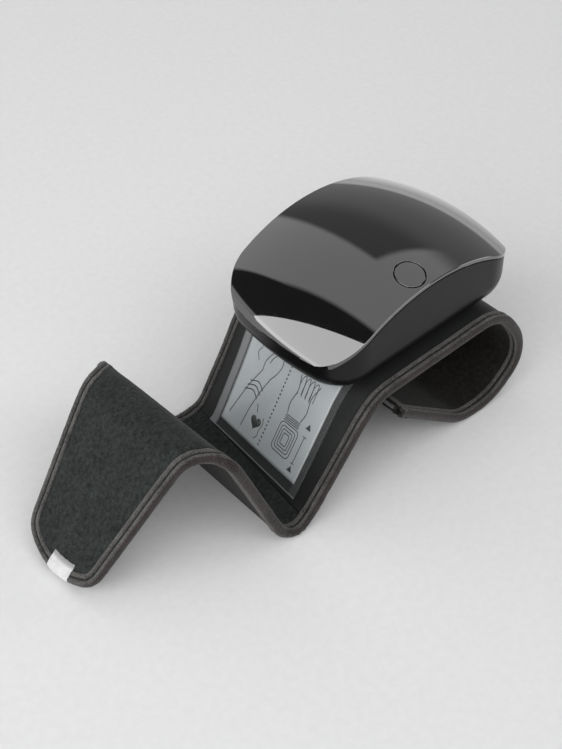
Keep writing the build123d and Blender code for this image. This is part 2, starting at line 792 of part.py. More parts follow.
# Nozzle from the manifold down through the hull, the outer fabric and the stiff core to the bladder
fabric_floor = core_bottom - outer_top
with BuildPart(base) as air_nozzle:
    with Locations((manifold_x, nozzle_y, fabric_floor)):
        Cylinder(nozzle_radius, manifold_low - fabric_floor, align=upward)
    with Locations((manifold_x, nozzle_y, hull_wall)):
        Cylinder(nozzle_radius + nozzle_flange, nozzle_flange, align=upward)
    with Locations((manifold_x, nozzle_y, fabric_floor)):
        Cylinder(nozzle_bore, manifold_low - fabric_floor, align=upward, mode=Mode.SUBTRACT)
air_nozzle.part.label = "air_nozzle"
export_step(air_nozzle.part, "parts/air_nozzle.step")

# Screws that clamp the core and the fabric to the hull, countersunk in the core
with BuildPart(base) as cuff_screws:
    with Locations(*[(x, y, fabric_floor) for x, y, z in cuff_bosses]):
        Cone(screw_head_radius, screw_radius, screw_head_height, align=upward)
        Cylinder(screw_radius, cuff_screw_reach - fabric_floor, align=upward)
cuff_screws.part.label = "cuff_screws"
export_step(cuff_screws.part, "parts/cuff_screws.step")

# Holes that the nozzle and these screws need in the layers under the housing
with BuildPart(base) as strap_holes:
    with Locations((manifold_x, nozzle_y, fabric_floor)):
        Cylinder(nozzle_radius + nozzle_gap, -fabric_floor, align=upward)
    with Locations(*[(x, y, fabric_floor) for x, y, z in cuff_bosses]):
        Cone(screw_head_radius + screw_gap, screw_radius + screw_gap, screw_head_height, align=upward)
        Cylinder(screw_radius + screw_gap, -fabric_floor, align=upward)

# Round ends at the fold: a hollow at the start of the strap's body, a matching round on the tail
with BuildPart(Plane.XZ) as fold_hollow:
    with Locations((*fold_line, 0)):
        Cylinder(ground + fold_clearance, 2 * strap_width)

with BuildPart(Plane.XZ) as tail_end:
    with Locations((fold_x + strap_width / 2, fold_line[1], 0)):
        Box(strap_width, strap_width, 2 * strap_width)
    with Locations((*fold_line, 0)):
        Cylinder(ground, 2 * strap_width, mode=Mode.SUBTRACT)

# Stiff core: the curved plate that gives the strap its loop
with BuildPart() as cuff_core:
    add(layer(loop_route, core_width, core_bottom, outer_bottom))
    add(strap_holes.part, mode=Mode.SUBTRACT)
cuff_core.part.label = "cuff_core"
export_step(cuff_core.part, "parts/cuff_core.step")

# Air bladder under the core
with BuildPart() as bladder:
    add(layer(loop_route, bladder_width, bladder_bottom, core_bottom))
bladder.part.label = "bladder"
export_step(bladder.part, "parts/bladder.step")

# Padding: full width in front of the core, and a rail along each edge beside it
rail_width = (fabric_width - core_width) / 2
with BuildPart() as side_rails:
    with BuildSketch(start_plane(loop_route)):
        with Locations((0, (bladder_bottom + outer_bottom) / 2)):
            with GridLocations(core_width + rail_width, 1, 2, 1):
                Rectangle(rail_width, outer_bottom - bladder_bottom)
    sweep(path=loop_route.line)

with BuildPart() as cuff_padding:
    add(layer(padded_route, fabric_width, bladder_bottom, outer_bottom))
    add(side_rails.part)
    add(fold_hollow.part, mode=Mode.SUBTRACT)
cuff_padding.part.label = "cuff_padding"
export_step(cuff_padding.part, "parts/cuff_padding.step")

# Outer fabric and lining of the strap's body
with BuildPart() as cuff_outer_fabric:
    add(layer(body_route, fabric_width, outer_bottom, outer_top))
    add(fold_hollow.part, mode=Mode.SUBTRACT)
    add(strap_holes.part, mode=Mode.SUBTRACT)
cuff_outer_fabric.part.label = "cuff_outer_fabric"
export_step(cuff_outer_fabric.part, "parts/cuff_outer_fabric.step")

with BuildPart() as cuff_lining:
    add(layer(body_route, fabric_width, lining_bottom, bladder_bottom))
    add(fold_hollow.part, mode=Mode.SUBTRACT)
cuff_lining.part.label = "cuff_lining"
export_step(cuff_lining.part, "parts/cuff_lining.step")

# Edge binding: a tape folded over each long edge
with BuildPart() as cuff_binding:
    with BuildSketch(start_plane(body_route)):
        with GridLocations(strap_width - binding_lip, 1, 2, 1):
            Rectangle(binding_lip, binding_thickness)
        Rectangle(fabric_width, outer_top - lining_bottom, mode=Mode.SUBTRACT)
    sweep(path=body_route.line)
    add(fold_hollow.part, mode=Mode.SUBTRACT)
cuff_binding.part.label = "cuff_binding"
export_step(cuff_binding.part, "parts/cuff_binding.step")

# Instruction label on the rising stretch, with a clear film over it
rise_start = route[4]
rise = math.radians(rise_angle)


def rise_plane(start, length):
    """A plane on the rising stretch, centred on a span measured from its foot."""
    middle = polar_step(rise_start, start + length / 2, rise_angle)
    return Plane(
        origin=(middle[0], 0, middle[1]),
        x_dir=(math.cos(rise), 0, math.sin(rise)),
        z_dir=(-math.sin(rise), 0, math.cos(rise)),
    )


with BuildPart() as label_panel:
    with BuildSketch(rise_plane(label_start, label_length).offset(outer_top)):
        Rectangle(label_length, label_width)
    extrude(amount=label_thickness)
label_panel.part.label = "label_panel"
export_step(label_panel.part, "parts/label_panel.step")

with BuildPart() as label_film:
    add(layer(body_route, film_width, outer_top, outer_top + film_thickness))
    with BuildSketch(rise_plane(film_start, film_length).offset(outer_top)):
        Rectangle(film_length, film_width + 2 * margin)
    extrude(amount=valley_rise_round, both=True, mode=Mode.INTERSECT)
    with BuildSketch(rise_plane(label_start, label_length).offset(outer_top)):
        Rectangle(label_length, label_width)
    extrude(amount=label_thickness, mode=Mode.SUBTRACT)
label_film.part.label = "label_film"
export_step(label_film.part, "parts/label_film.step")

# Tail: its layers are cut to a tapered outline in its own plane
slope = math.radians(tail_angle)
tail_plane = Plane(
    origin=(tip[0], 0, tip[1]),
    x_dir=(math.cos(slope), 0, math.sin(slope)),
    z_dir=(-math.sin(slope), 0, math.cos(slope)),
)
tip_half_width = half_strap - tip_inset
taper_half_width = half_strap - taper_inset
tip_bow = tip_bow_radius - math.sqrt(tip_bow_radius**2 - tip_half_width**2)
flare_end = taper_end + flare_length
taper = (taper_end - tip_bow, taper_half_width - tip_half_width)


def tail_outline(inset):
    """Outline of the tail: bowed tip with round corners, widening sides, and a flare to the full width."""
    with BuildSketch(tail_plane) as outline:
        with BuildLine():
            ThreePointArc((tip_bow, -tip_half_width), (0, 0), (tip_bow, tip_half_width))
            for hand in (-1, 1):
                Line((tip_bow, hand * tip_half_width), (taper_end, hand * taper_half_width))
                ThreePointArc(
                    (taper_end, hand * taper_half_width),
                    flare_middle(hand),
                    (flare_end, hand * half_strap),
                )
                Line((flare_end, hand * half_strap), (flare_end + strap_width, hand * half_strap))
            Line((flare_end + strap_width, -half_strap), (flare_end + strap_width, half_strap))
        make_face()
        fillet(outline.vertices().sort_by(Axis.X)[0:2], tip_round)
        if inset > 0:
            offset(amount=-inset, mode=Mode.REPLACE)
    return outline.sketch


def flare_middle(hand):
    """Middle point of the flare: an arc that leaves the taper's side line without a corner."""
    chord = (flare_end - taper_end, half_strap - taper_half_width)
    half_turn = math.atan2(chord[1], chord[0]) - math.atan2(taper[1], taper[0])
    rise_at_middle = math.hypot(*chord) / 2 * math.tan(half_turn / 2)
    lean = math.atan2(chord[1], chord[0])
    x = taper_end + chord[0] / 2 + rise_at_middle * math.sin(lean)
    y = taper_half_width + chord[1] / 2 - rise_at_middle * math.cos(lean)
    return (x, hand * y)


def tail_layer(low, high, inset):
    """One layer of the tail between two offsets, cut to the outline."""
    with BuildPart() as strip:
        add(layer(tail_route, strap_width + 2 * margin, low, high))
        extrude(tail_outline(inset), amount=ridge_round + binding_thickness, both=True, mode=Mode.INTERSECT)
    return strip.part


with BuildPart() as tail_loop_fabric:
    add(tail_layer(outer_bottom, outer_top, binding_wall))
    add(tail_end.part, mode=Mode.SUBTRACT)
tail_loop_fabric.part.label = "tail_loop_fabric"
export_step(tail_loop_fabric.part, "parts/tail_loop_fabric.step")

with BuildPart() as tail_padding:
    add(tail_layer(bladder_bottom, outer_bottom, binding_wall))
    add(tail_end.part, mode=Mode.SUBTRACT)
tail_padding.part.label = "tail_padding"
export_step(tail_padding.part, "parts/tail_padding.step")

with BuildPart() as tail_lining:
    add(tail_layer(lining_bottom, bladder_bottom, binding_wall))
    add(tail_end.part, mode=Mode.SUBTRACT)
tail_lining.part.label = "tail_lining"
export_step(tail_lining.part, "parts/tail_lining.step")

with BuildPart() as tail_binding:
    add(tail_layer(-ground, ground, 0))
    add(tail_layer(lining_bottom, outer_top, binding_wall), mode=Mode.SUBTRACT)
    extrude(
        tail_outline(binding_lip),
        amount=ridge_round + 2 * binding_thickness,
        both=True,
        mode=Mode.SUBTRACT,
    )
    add(tail_end.part, mode=Mode.SUBTRACT)
tail_binding.part.label = "tail_binding"
export_step(tail_binding.part, "parts/tail_binding.step")

# Hook patch under the tail, and the cloth tag folded over its tip
with BuildPart() as tail_hook_patch:
    with BuildSketch(tail_plane.offset(lining_bottom)):
        with Locations((hook_start + hook_length / 2, 0)):
            RectangleRounded(hook_length, hook_width, hook_round)
    extrude(amount=-hook_thickness)
tail_hook_patch.part.label = "tail_hook_patch"
export_step(tail_hook_patch.part, "parts/tail_hook_patch.step")

with BuildPart(tail_plane) as pull_tag:
    with Locations(((tag_length - tag_thickness) / 2, tag_shift, ground)):
        Box(tag_length + tag_thickness, tag_width, tag_thickness, align=upward)
    with Locations((-tag_thickness / 2, tag_shift, ground - tag_drop)):
        Box(tag_thickness, tag_width, tag_drop, align=upward)
pull_tag.part.label = "pull_tag"
export_step(pull_tag.part, "parts/pull_tag.step")
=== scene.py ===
"""Looks of a wrist blood pressure monitor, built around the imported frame.

Shapes are worked out in millimetres and become metres when a mesh is made. The strap is drawn unrolled, as
a length u from the tip of its tail, a place y across it and a height s over its mid surface, and is then
laid along the route of the folded strap.
"""
import json
import math

import bpy
import numpy as np
from mathutils import Euler, Matrix, Vector
from mathutils.geometry import delaunay_2d_cdt


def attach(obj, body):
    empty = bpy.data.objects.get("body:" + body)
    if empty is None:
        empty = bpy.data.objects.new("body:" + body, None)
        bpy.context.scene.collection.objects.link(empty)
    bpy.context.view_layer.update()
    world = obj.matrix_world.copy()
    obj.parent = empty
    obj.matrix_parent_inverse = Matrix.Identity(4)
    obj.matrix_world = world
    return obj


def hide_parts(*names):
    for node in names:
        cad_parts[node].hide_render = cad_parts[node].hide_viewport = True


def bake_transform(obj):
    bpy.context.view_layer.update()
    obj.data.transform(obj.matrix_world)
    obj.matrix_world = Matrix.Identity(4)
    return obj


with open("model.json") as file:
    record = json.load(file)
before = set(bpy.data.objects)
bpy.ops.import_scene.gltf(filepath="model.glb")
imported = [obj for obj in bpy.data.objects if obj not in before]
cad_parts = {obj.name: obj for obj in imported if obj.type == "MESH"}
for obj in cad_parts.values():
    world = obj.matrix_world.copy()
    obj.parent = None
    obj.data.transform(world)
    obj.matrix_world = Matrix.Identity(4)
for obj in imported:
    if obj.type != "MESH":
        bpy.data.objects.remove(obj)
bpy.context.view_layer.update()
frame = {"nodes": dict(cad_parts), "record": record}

MM = 0.001
ROOT_BODY = "cuff_and_housing"
TAIL_BODY = "cuff_tail"
BUTTON_BODY = "start_button"

# Route of the strap, the same stretches, angles and bends as the CAD model
GROUND = 1.9
TAIL_ANGLE = 51.1
RIDGE_RISE = 43.5
RIDGE_TOP = 9.7
FALL_ANGLE = 66.2
VALLEY_FLAT = 12.6
RISE_ANGLE = 52.9
RUN_RISE = 36.6
RUN_TILT = 3.5
RUN_LENGTH = 57.9
LOOP_REACH = 12.6
SHOULDER_HEIGHT = 24.0
HEEL_HEIGHT = 13.0
HEEL_REACH = 12.1
LOOP_FLAT = 16.0
CURL_ANGLE = 36.3
CURL_LENGTH = 39.0
BENDS = [5.0, 5.0, 7.0, 9.0, 10.0, 16.0, 20.0, 10.0, 18.0, 15.0]
ROUTE_STEP = 0.25
LEAST_BEND_STEPS = 4
ROUTE_EASE = 2.0

# How the slack part of the strap is skewed: a yaw and a roll in degrees and a drift across, at lengths u
YAW_AT = [0, 60, 112, 126, 150, 172]
YAW = [1.77, 0.38, 0.8, 7.19, 4.18, 0.0]
ROLL_AT = [0, 62, 110, 172]
ROLL = [0.84, -2.2, 0.0, 0.0]
DRIFT_AT = [0, 60, 118, 160]
DRIFT = [0.87, 1.71, -3.68, 0.0]
ANCHOR_U = 172.0

# The tip lifts off the table as it rolls, and the ridge sags a little, most at its far corner
TIP_LIFT = 0.20524
TIP_LIFT_LENGTH = 50.0
TIP_LIFT_POWER = 1.5
RIDGE_SPREAD = 8.0
RIDGE_DROP = 0.7
CORNER_DROP = 2.4
CORNER_POWER = 4

# Strap across and through: half width, heights of its layers over the middle, and gaps between them
HALF_STRAP = 34.5
FACE = 1.4
CORE_TOP = 0.6
BLADDER_LOW = -0.9
LINING_LOW = -1.4
FABRIC_MARGIN = 0.7
PADDING_MARGIN = 1.0
PADDING_GAP = 0.02
FACE_SPLIT = 0.5
FACE_SPLIT_GAP = 0.1
LAID_GAP = 0.01

# Outline of the tail, measured from its tip
TIP_HALF_WIDTH = 18.0
TIP_BOW = 28.8
TIP_ROUND = 9.3
TAPER_END = 53.5
TAPER_HALF_WIDTH = 26.1
FLARE_LENGTH = 15.0
OUTLINE_STEP = 0.2
OUTLINE_EASE = 1.2
EDGE_SPACING = 0.6
ARC_POINTS = 30
TAPER_POINTS = 40
STRAIGHT_POINTS = 400

# Binding: its section, how far it sways and crumples, and its stitches
BINDING_HALF = 1.9
BINDING_WALL = 0.6
BINDING_LIP = 4.2
GROOVE_AT = 2.38
GROOVE_FROM_LIP = 1.85
SEAM_DIP = 0.22
SEAM_DIP_AT = 0.3
SEAM_DIP_SPREAD = 1.6
SWAY = 0.12
SWAY_REACH = 20
SWAY_FROM_EDGE = 1.2
CRUMPLE = 0.05
FOOT_CRUMPLE = 0.2
FOOT_CRUMPLE_SPREAD = 14
RIDGE_CRUMPLE = 0.07
RIDGE_CRUMPLE_SPREAD = 9
NOISE_LIMIT = 2.5
LIP_POINTS = 2
INNER_POINTS = 6
END_TAPE_MARGIN = 0.3
STITCH_LENGTH = 2.5
STITCH_GAP = 0.35
STITCH_START = 1.0
STITCH_INSET = BINDING_LIP - GROOVE_FROM_LIP
STITCH_RADIUS = 0.2
STITCH_SINK = 0.58
STITCH_SIDES = 8
STITCH_ARCH = 0.6

# Label on the rising stretch and the clear film over it, measured from the foot of that stretch
LABEL_START = 5.0
LABEL_LENGTH = 35.5
LABEL_WIDTH = 42.5
LABEL_THICKNESS = 0.16
LABEL_TURN = 3.0
LABEL_SHIFT = -0.8
LABEL_RAISE = 0.8
FILM_START = 1.0
FILM_LENGTH = 43.0
FILM_WIDTH = 49.0
FILM_THICKNESS = 0.35
FILM_GAP = 0.05
FILM_RAISE = 0.9
INK_THICKNESS = 0.02
INK_WIDTH = 0.34
FINE_INK = 0.28

# Hook patch under the tip, and the folded tag at the tip
HOOK_START = 9.0
HOOK_LENGTH = 32.0
HOOK_WIDTH = 24.0
HOOK_THICKNESS = 0.5
TAG_LENGTH = 6.6
TAG_FRONT = -8.1
TAG_BACK = 2.1
TAG_THICKNESS = 0.4
TAG_FRAY = 0.25
TAG_CLEARANCE = 0.05
TAG_COLUMNS = 41

# Housing: an arch along with a crown across, over a drafted wall; the near end rolls down over a longer way
HOUSING_ALONG = 27.5
HOUSING_LENGTH = 88.0
HOUSING_WIDTH = 61.0
HOUSING_HEIGHT = 34.4
PLAN_ROUND = 14.5
ARCH_RADIUS = 65.0
END_RADIUS = 9.0
CROWN_RADIUS = 110.0
NEAR_ROLL_START = 30.0
COVER_THICKNESS = 1.2
HULL_DRAFT = 2.0
HULL_ROUND = 10.0
LIP_MARGIN = 0.02
RIM_BELOW_LIP = 0.25
CREASE_ROUND = 0.17
CHAMFER_SHARE = (0.9, 1.0, 1.0, 1.0, 0.6)
CHAMFER_LEAN = 0.25

# Start button and its hole
BUTTON_X = -5.0
BUTTON_Y = -24.0
BUTTON_RADIUS = 5.3
CAP_RADIUS = 5.0
CAP_ROUND = 0.25
CAP_HEIGHT = 1.0
RIM_ROUND = 0.22

# How finely the cover is meshed
QUARTER_COUNTS = (44, 36, 24)
EDGE_ROWS = 7
WALL_ROWS = 9
RIM_ROWS = 5
DISC_ROWS = 7
HOLE_SIDES = 96
TOP_SPACING = 1.1
UNDER_SPACING = 3.0

# Search for the rim's height: the height it starts from, how far over the top, and its halvings
SEARCH_FROM = 2.0
SEARCH_OVER = 1
RIM_HALVINGS = 40
LEAST_WALL = 0.04

# Triangles: what the even cloud keeps clear of, as shares of its spacing, and how close points merge
OUTLINE_CLEARANCE = 0.6
HOLE_CLEARANCE = 0.5
TRIANGLES_INSIDE = 1
MERGE_DISTANCE = 1e-6

# Studio, in metres, and the brightness of the world by direction
FLOOR_RADIUS = 0.95
FLOOR_SIDES = 128
SOFTBOX_EDGE_AT = (-1.2, 0.43, 1.4)
SOFTBOX_SIZE = (1.7, 3.2)
SOFTBOX_SLANT = 29.3
SOFTBOX_POWER = 53.0
GAP_EDGE = -0.33
GAP_EASE = 0.02
GAP_LEVEL = 0.04
CEILING_LEVEL = 0.85
WALL_EDGE = 0.26
WALL_EASE = 0.03
WALL_TOP = (-0.02, 0.04)
WALL_SLOPE = 0.4
WALL_LEVEL = 0.2
SIDE_SLOPE = 0.75
SIDE_FADE = 0.35
SIDE_LEVEL = 0.32
FRONT_SLOPE = 0.9
FRONT_FADE = -0.3
FRONT_LEVEL = 0.14
ZONE_EASE = 0.025
ZONES = (({"X": (-0.5, 0.46), "Y": (-0.84, -0.48), "Z": (0.42, 1.1)}, 2.6),
         ({"X": (0.46, 0.75), "Y": (-0.78, -0.3), "Z": (0.3, 1.1)}, 0.05),
         ({"X": (0.75, 1.1), "Y": (-0.5, -0.2), "Z": (0.15, 1.1)}, 2.6))
LEVEL_RAY_END = 0.035
BACKDROP_LEVEL = 0.72

# Camera: its place from the foot of the run, in millimetres, and its turn in degrees
CAMERA_FROM_RUN = (-244.18, -263.5, 314.8)
CAMERA_TURN = (47.63, 0.0, -41.31)
CAMERA_LENS = 68.73
CAMERA_SENSOR = 36.0
CAMERA_NEAR = 0.01


# Points and paths

def unit(vectors):
    return vectors / np.maximum(np.linalg.norm(vectors, axis=-1, keepdims=True), 1e-12)


def rotated(points, angle):
    """Points in a plane turned about its origin by an angle in radians."""
    x, y = points[..., 0], points[..., 1]
    cos, sin = math.cos(angle), math.sin(angle)
    return np.stack([x * cos - y * sin, x * sin + y * cos], -1)


def polar_step(point, length, angle):
    """The point at a length and an angle in degrees from another one."""
    return np.asarray(point) + rotated(np.array((length, 0.0)), math.radians(angle))


def angle_of(vector):
    return math.atan2(vector[1], vector[0])


def arc(centre, radius, start, end, count):
    """Points on a circle from one angle in radians to another."""
    angles = np.linspace(start, end, count)
    return np.stack([centre[0] + radius * np.cos(angles), centre[1] + radius * np.sin(angles)], 1)


def round_loop(centre, radius, sides):
    return arc(centre, radius, 0, 2 * math.pi, sides + 1)[:-1]


def lengths_of(path):
    """Length along a path at each of its points."""
    return np.concatenate([[0], np.cumsum(np.linalg.norm(np.diff(path, axis=0), axis=1))])


def at_lengths(places, lengths, path):
    """Points of a path at given lengths along it."""
    return np.stack([np.interp(places, lengths, column) for column in path.T], -1)


def evenly(path, spacing):
    """The same path in even steps, and the length at each of its points."""
    lengths = lengths_of(path)
    even = np.linspace(0, lengths[-1], int(lengths[-1] / spacing) + 1)
    return at_lengths(even, lengths, path), even


def eased_path(path, ease, step):
    """The path with its bends eased by a running average; its ends are carried on straight."""
    reach = int(4 * ease / step)
    weight = np.exp(-0.5 * (np.arange(-reach, reach + 1) * step / ease) ** 2)
    weight /= weight.sum()
    head = 2 * path[0] - path[reach:0:-1]
    foot = 2 * path[-1] - path[-2:-reach - 2:-1]
    full = np.concatenate([head, path, foot])
    return np.stack([np.convolve(column, weight, mode="valid") for column in full.T], 1)


# Strap: its route, its place in space and its outline

def route_corners():
    """Corners of the strap's mid surface in X and Z, centred on the origin as in the CAD model."""
    tail, fall, rise = (math.radians(angle) for angle in (TAIL_ANGLE, FALL_ANGLE, RISE_ANGLE))
    fall_foot = (0.0, GROUND)
    rise_foot = (VALLEY_FLAT, GROUND)
    ridge_right = (-RIDGE_RISE / math.tan(fall), GROUND + RIDGE_RISE)
    ridge_left = (ridge_right[0] - RIDGE_TOP, ridge_right[1])
    tip_height = GROUND * math.cos(tail)
    tip = polar_step(ridge_left, (ridge_left[1] - tip_height) / math.sin(tail), 180 + TAIL_ANGLE)
    run_foot = (rise_foot[0] + RUN_RISE / math.tan(rise), GROUND + RUN_RISE)
    run_end = polar_step(run_foot, RUN_LENGTH, RUN_TILT)
    shoulder = (run_end[0] + LOOP_REACH, SHOULDER_HEIGHT)
    heel = (shoulder[0], HEEL_HEIGHT)
    sole = (heel[0] - HEEL_REACH, GROUND)
    curl_foot = (sole[0] - LOOP_FLAT, GROUND)
    curl_end = polar_step(curl_foot, CURL_LENGTH, 180 - CURL_ANGLE)
    tag_reach = (GROUND + TAG_THICKNESS) * math.sin(tail) + TAG_THICKNESS * math.cos(tail)
    shift = -(tip[0] - tag_reach + shoulder[0] + GROUND) / 2
    corners = [tip, ridge_left, ridge_right, fall_foot, rise_foot, run_foot]
    corners += [run_end, shoulder, heel, sole, curl_foot, curl_end]
    return np.array(corners) + (shift, 0)


def rounded_route(corners):
    """Evenly spaced points along straight runs that are joined by tangent arcs."""
    points = [corners[0]]
    for before, here, after, bend in zip(corners, corners[1:], corners[2:], BENDS):
        into, out = unit(here - before), unit(after - here)
        turn = math.atan2(into[0] * out[1] - into[1] * out[0], into @ out)
        start = here - into * bend * math.tan(abs(turn) / 2)
        centre = start + np.array((-into[1], into[0])) * math.copysign(bend, turn)
        count = max(LEAST_BEND_STEPS, int(bend * abs(turn) / ROUTE_STEP)) + 1
        points += [centre + rotated(start - centre, angle) for angle in np.linspace(0, turn, count)]
    points.append(corners[-1])
    return evenly(np.array(points), ROUTE_STEP)


def strap_frame():
    """The strap in space at each length u: its mid line, its direction, its way across and its normal."""
    eased = eased_path(flat_route, ROUTE_EASE, ROUTE_STEP)
    yaw = np.radians(np.interp(route_u, YAW_AT, YAW))
    turn = (yaw[1:] + yaw[:-1]) / 2
    move = np.diff(eased, axis=0)
    steps = np.stack([move[:, 0] * np.cos(turn), -move[:, 0] * np.sin(turn), move[:, 1]], 1)
    line = np.concatenate([np.zeros((1, 3)), np.cumsum(steps, axis=0)])
    anchor = int(ANCHOR_U / ROUTE_STEP)
    line += np.array((eased[anchor, 0], 0.0, eased[anchor, 1])) - line[anchor]
    line[:, 1] += np.interp(route_u, DRIFT_AT, DRIFT)
    line[:, 2] += TIP_LIFT * np.clip(1 - route_u / TIP_LIFT_LENGTH, 0, 1) ** TIP_LIFT_POWER
    along = unit(np.gradient(line, route_u, axis=0))
    across = np.stack([np.sin(yaw), np.cos(yaw), 0 * yaw], 1)
    upright = unit(np.cross(along, across))
    roll = np.radians(np.interp(route_u, ROLL_AT, ROLL))[:, None]
    across = unit(across * np.cos(roll) + upright * np.sin(roll))
    return line, along, across, unit(np.cross(along, across))


def length_to(point):
    """Length u of the place on the route that is nearest to a point in X and Z."""
    return route_u[np.argmin(np.linalg.norm(flat_route - point, axis=1))]


corners = route_corners()
flat_route, route_u = rounded_route(corners)
mid_line, way_along, way_across, way_up = strap_frame()
END_U = route_u[-1]
RIDGE_U = length_to((corners[1] + corners[2]) / 2)
VALLEY_U = length_to((corners[3] + corners[4]) / 2)


def strap_point(u, y, s):
    """Places in space of points on the strap: length along it, place across it, height over its middle."""
    u, y, s = np.broadcast_arrays(np.asarray(u, float), y, s)
    line, along, across, up = (at_lengths(u, route_u, v) for v in (mid_line, way_along, way_across, way_up))
    past_end = np.where(u < 0, u, np.maximum(u - END_U, 0))[..., None]
    place = line + along * past_end + across * y[..., None] + up * s[..., None]
    near_ridge = np.exp(-0.5 * ((u - RIDGE_U) / RIDGE_SPREAD) ** 2)
    corner = np.clip(y / HALF_STRAP, 0, 1) ** CORNER_POWER
    place[..., 2] -= near_ridge * (RIDGE_DROP + CORNER_DROP * corner)
    return place


def strap_side():
    """Half outline of the unrolled strap, from the tip's middle to the curled end, and its tip corner."""
    bow_depth = TIP_BOW - math.sqrt(TIP_BOW ** 2 - TIP_HALF_WIDTH ** 2)
    side = unit(np.array([TAPER_END - bow_depth, TAPER_HALF_WIDTH - TIP_HALF_WIDTH]))
    outward = np.array([-side[1], side[0]])
    start = np.array([bow_depth, TIP_HALF_WIDTH]) - outward * TIP_ROUND
    bow_centre = np.array([TIP_BOW, 0.0])
    lead = start - bow_centre
    reach = lead @ side
    gap = max(reach ** 2 - lead @ lead + (TIP_BOW - TIP_ROUND) ** 2, 0)
    centre = start - side * (reach + math.sqrt(gap))
    on_side = centre + outward * TIP_ROUND
    on_bow = bow_centre + unit(centre - bow_centre) * TIP_BOW
    bow = arc(bow_centre, TIP_BOW, math.pi, angle_of(on_bow - bow_centre), ARC_POINTS)
    corner = arc(centre, TIP_ROUND, angle_of(on_bow - centre), angle_of(on_side - centre), ARC_POINTS)
    taper_end = np.array([TAPER_END, TAPER_HALF_WIDTH])
    taper = np.linspace(on_side, taper_end, TAPER_POINTS)
    flare_end = np.array([TAPER_END + FLARE_LENGTH, HALF_STRAP])
    chord = flare_end - taper_end
    half_turn = angle_of(chord) - angle_of(side)
    radius = np.linalg.norm(chord) / 2 / math.sin(half_turn)
    first = angle_of(-outward)
    flare = arc(taper_end + radius * outward, radius, first, first + 2 * half_turn, ARC_POINTS)
    edge = np.linspace(flare_end, (END_U, HALF_STRAP), STRAIGHT_POINTS)
    full = np.concatenate([bow, corner[1:], taper[1:], flare[1:], edge[1:]])
    return full, full[len(bow) + len(corner) // 2]


# The whole edge, from the curled end along the back, round the tip and along the front
side_outline, tip_corner = strap_side()
fine_edge, _ = evenly(np.concatenate([side_outline[::-1], side_outline[1:] * (1, -1)]), OUTLINE_STEP)
edge_path, edge_along = evenly(eased_path(fine_edge, OUTLINE_EASE, OUTLINE_STEP), EDGE_SPACING)
edge_out = unit(np.gradient(edge_path, axis=0)) @ np.array([[0, -1], [1, 0]])
tip_index = len(edge_path) // 2


def edge_half_width(u):
    """Half width of the strap at a length u, past the rounded tip."""
    return np.interp(u, edge_path[tip_index:, 0], np.abs(edge_path[tip_index:, 1]))


# Mesh making

def material_of(obj, material):
    obj.data.materials.clear()
    obj.data.materials.append(material)


def mesh_piece(name, points, faces, material, uv=None, smooth=True, normals=None):
    """A new object from points in millimetres; uv are lengths in millimetres for the weave."""
    mesh = bpy.data.meshes.new(name)
    mesh.from_pydata((np.asarray(points) * MM).tolist(), [], [tuple(int(i) for i in f) for f in faces])
    if uv is not None:
        layer = mesh.uv_layers.new(name="UVMap")
        index = np.empty(len(mesh.loops), np.int32)
        mesh.loops.foreach_get("vertex_index", index)
        layer.data.foreach_set("uv", np.asarray(uv, np.float32)[index].ravel())
    mesh.polygons.foreach_set("use_smooth", [smooth] * len(mesh.polygons))
    if normals is not None:
        mesh.normals_split_custom_set_from_vertices(np.asarray(normals).tolist())
    mesh.validate()
    mesh.update()
    obj = bpy.data.objects.new(name, mesh)
    bpy.context.scene.collection.objects.link(obj)
    material_of(obj, material)
    return obj


def grid_faces(rows, columns, start=0, wrap=False, flip=False):
    """Quads of a grid of points stored row by row; wrap joins the last column to the first."""
    i, j = np.indices((rows - 1, columns if wrap else columns - 1))
    k = (j + 1) % columns
    quads = np.stack([i * columns + j, i * columns + k, (i + 1) * columns + k, (i + 1) * columns + j], -1)
    quads = quads.reshape(-1, 4) + start
    return (quads[:, ::-1] if flip else quads).tolist()


def tube_faces(rows, columns, start=0):
    """Faces of a closed tube made of rings of points, with a cap at each end."""
    first = list(range(start, start + columns))
    last = [i + (rows - 1) * columns for i in first]
    return grid_faces(rows, columns, start, wrap=True) + [first[::-1], last]


def sheet_faces(rows, columns):
    """Faces of a thin closed sheet: an upper and a lower grid, and the strip that joins their borders."""
    size = rows * columns
    index = np.arange(size).reshape(rows, columns)
    border = np.concatenate([index[0], index[1:, -1], index[-1, -2::-1], index[-2:0:-1, 0]])
    after = np.roll(border, -1)
    strip = np.stack([after, border, border + size, after + size], 1).tolist()
    return grid_faces(rows, columns) + grid_faces(rows, columns, start=size, flip=True) + strip


def grid_uv(lengths, places):
    """One UV row per point of a grid, from its rows' lengths and its columns' places."""
    return np.stack([np.repeat(lengths, len(places)), np.tile(places, len(lengths))], 1)


# Materials: each one is a small node tree of its own

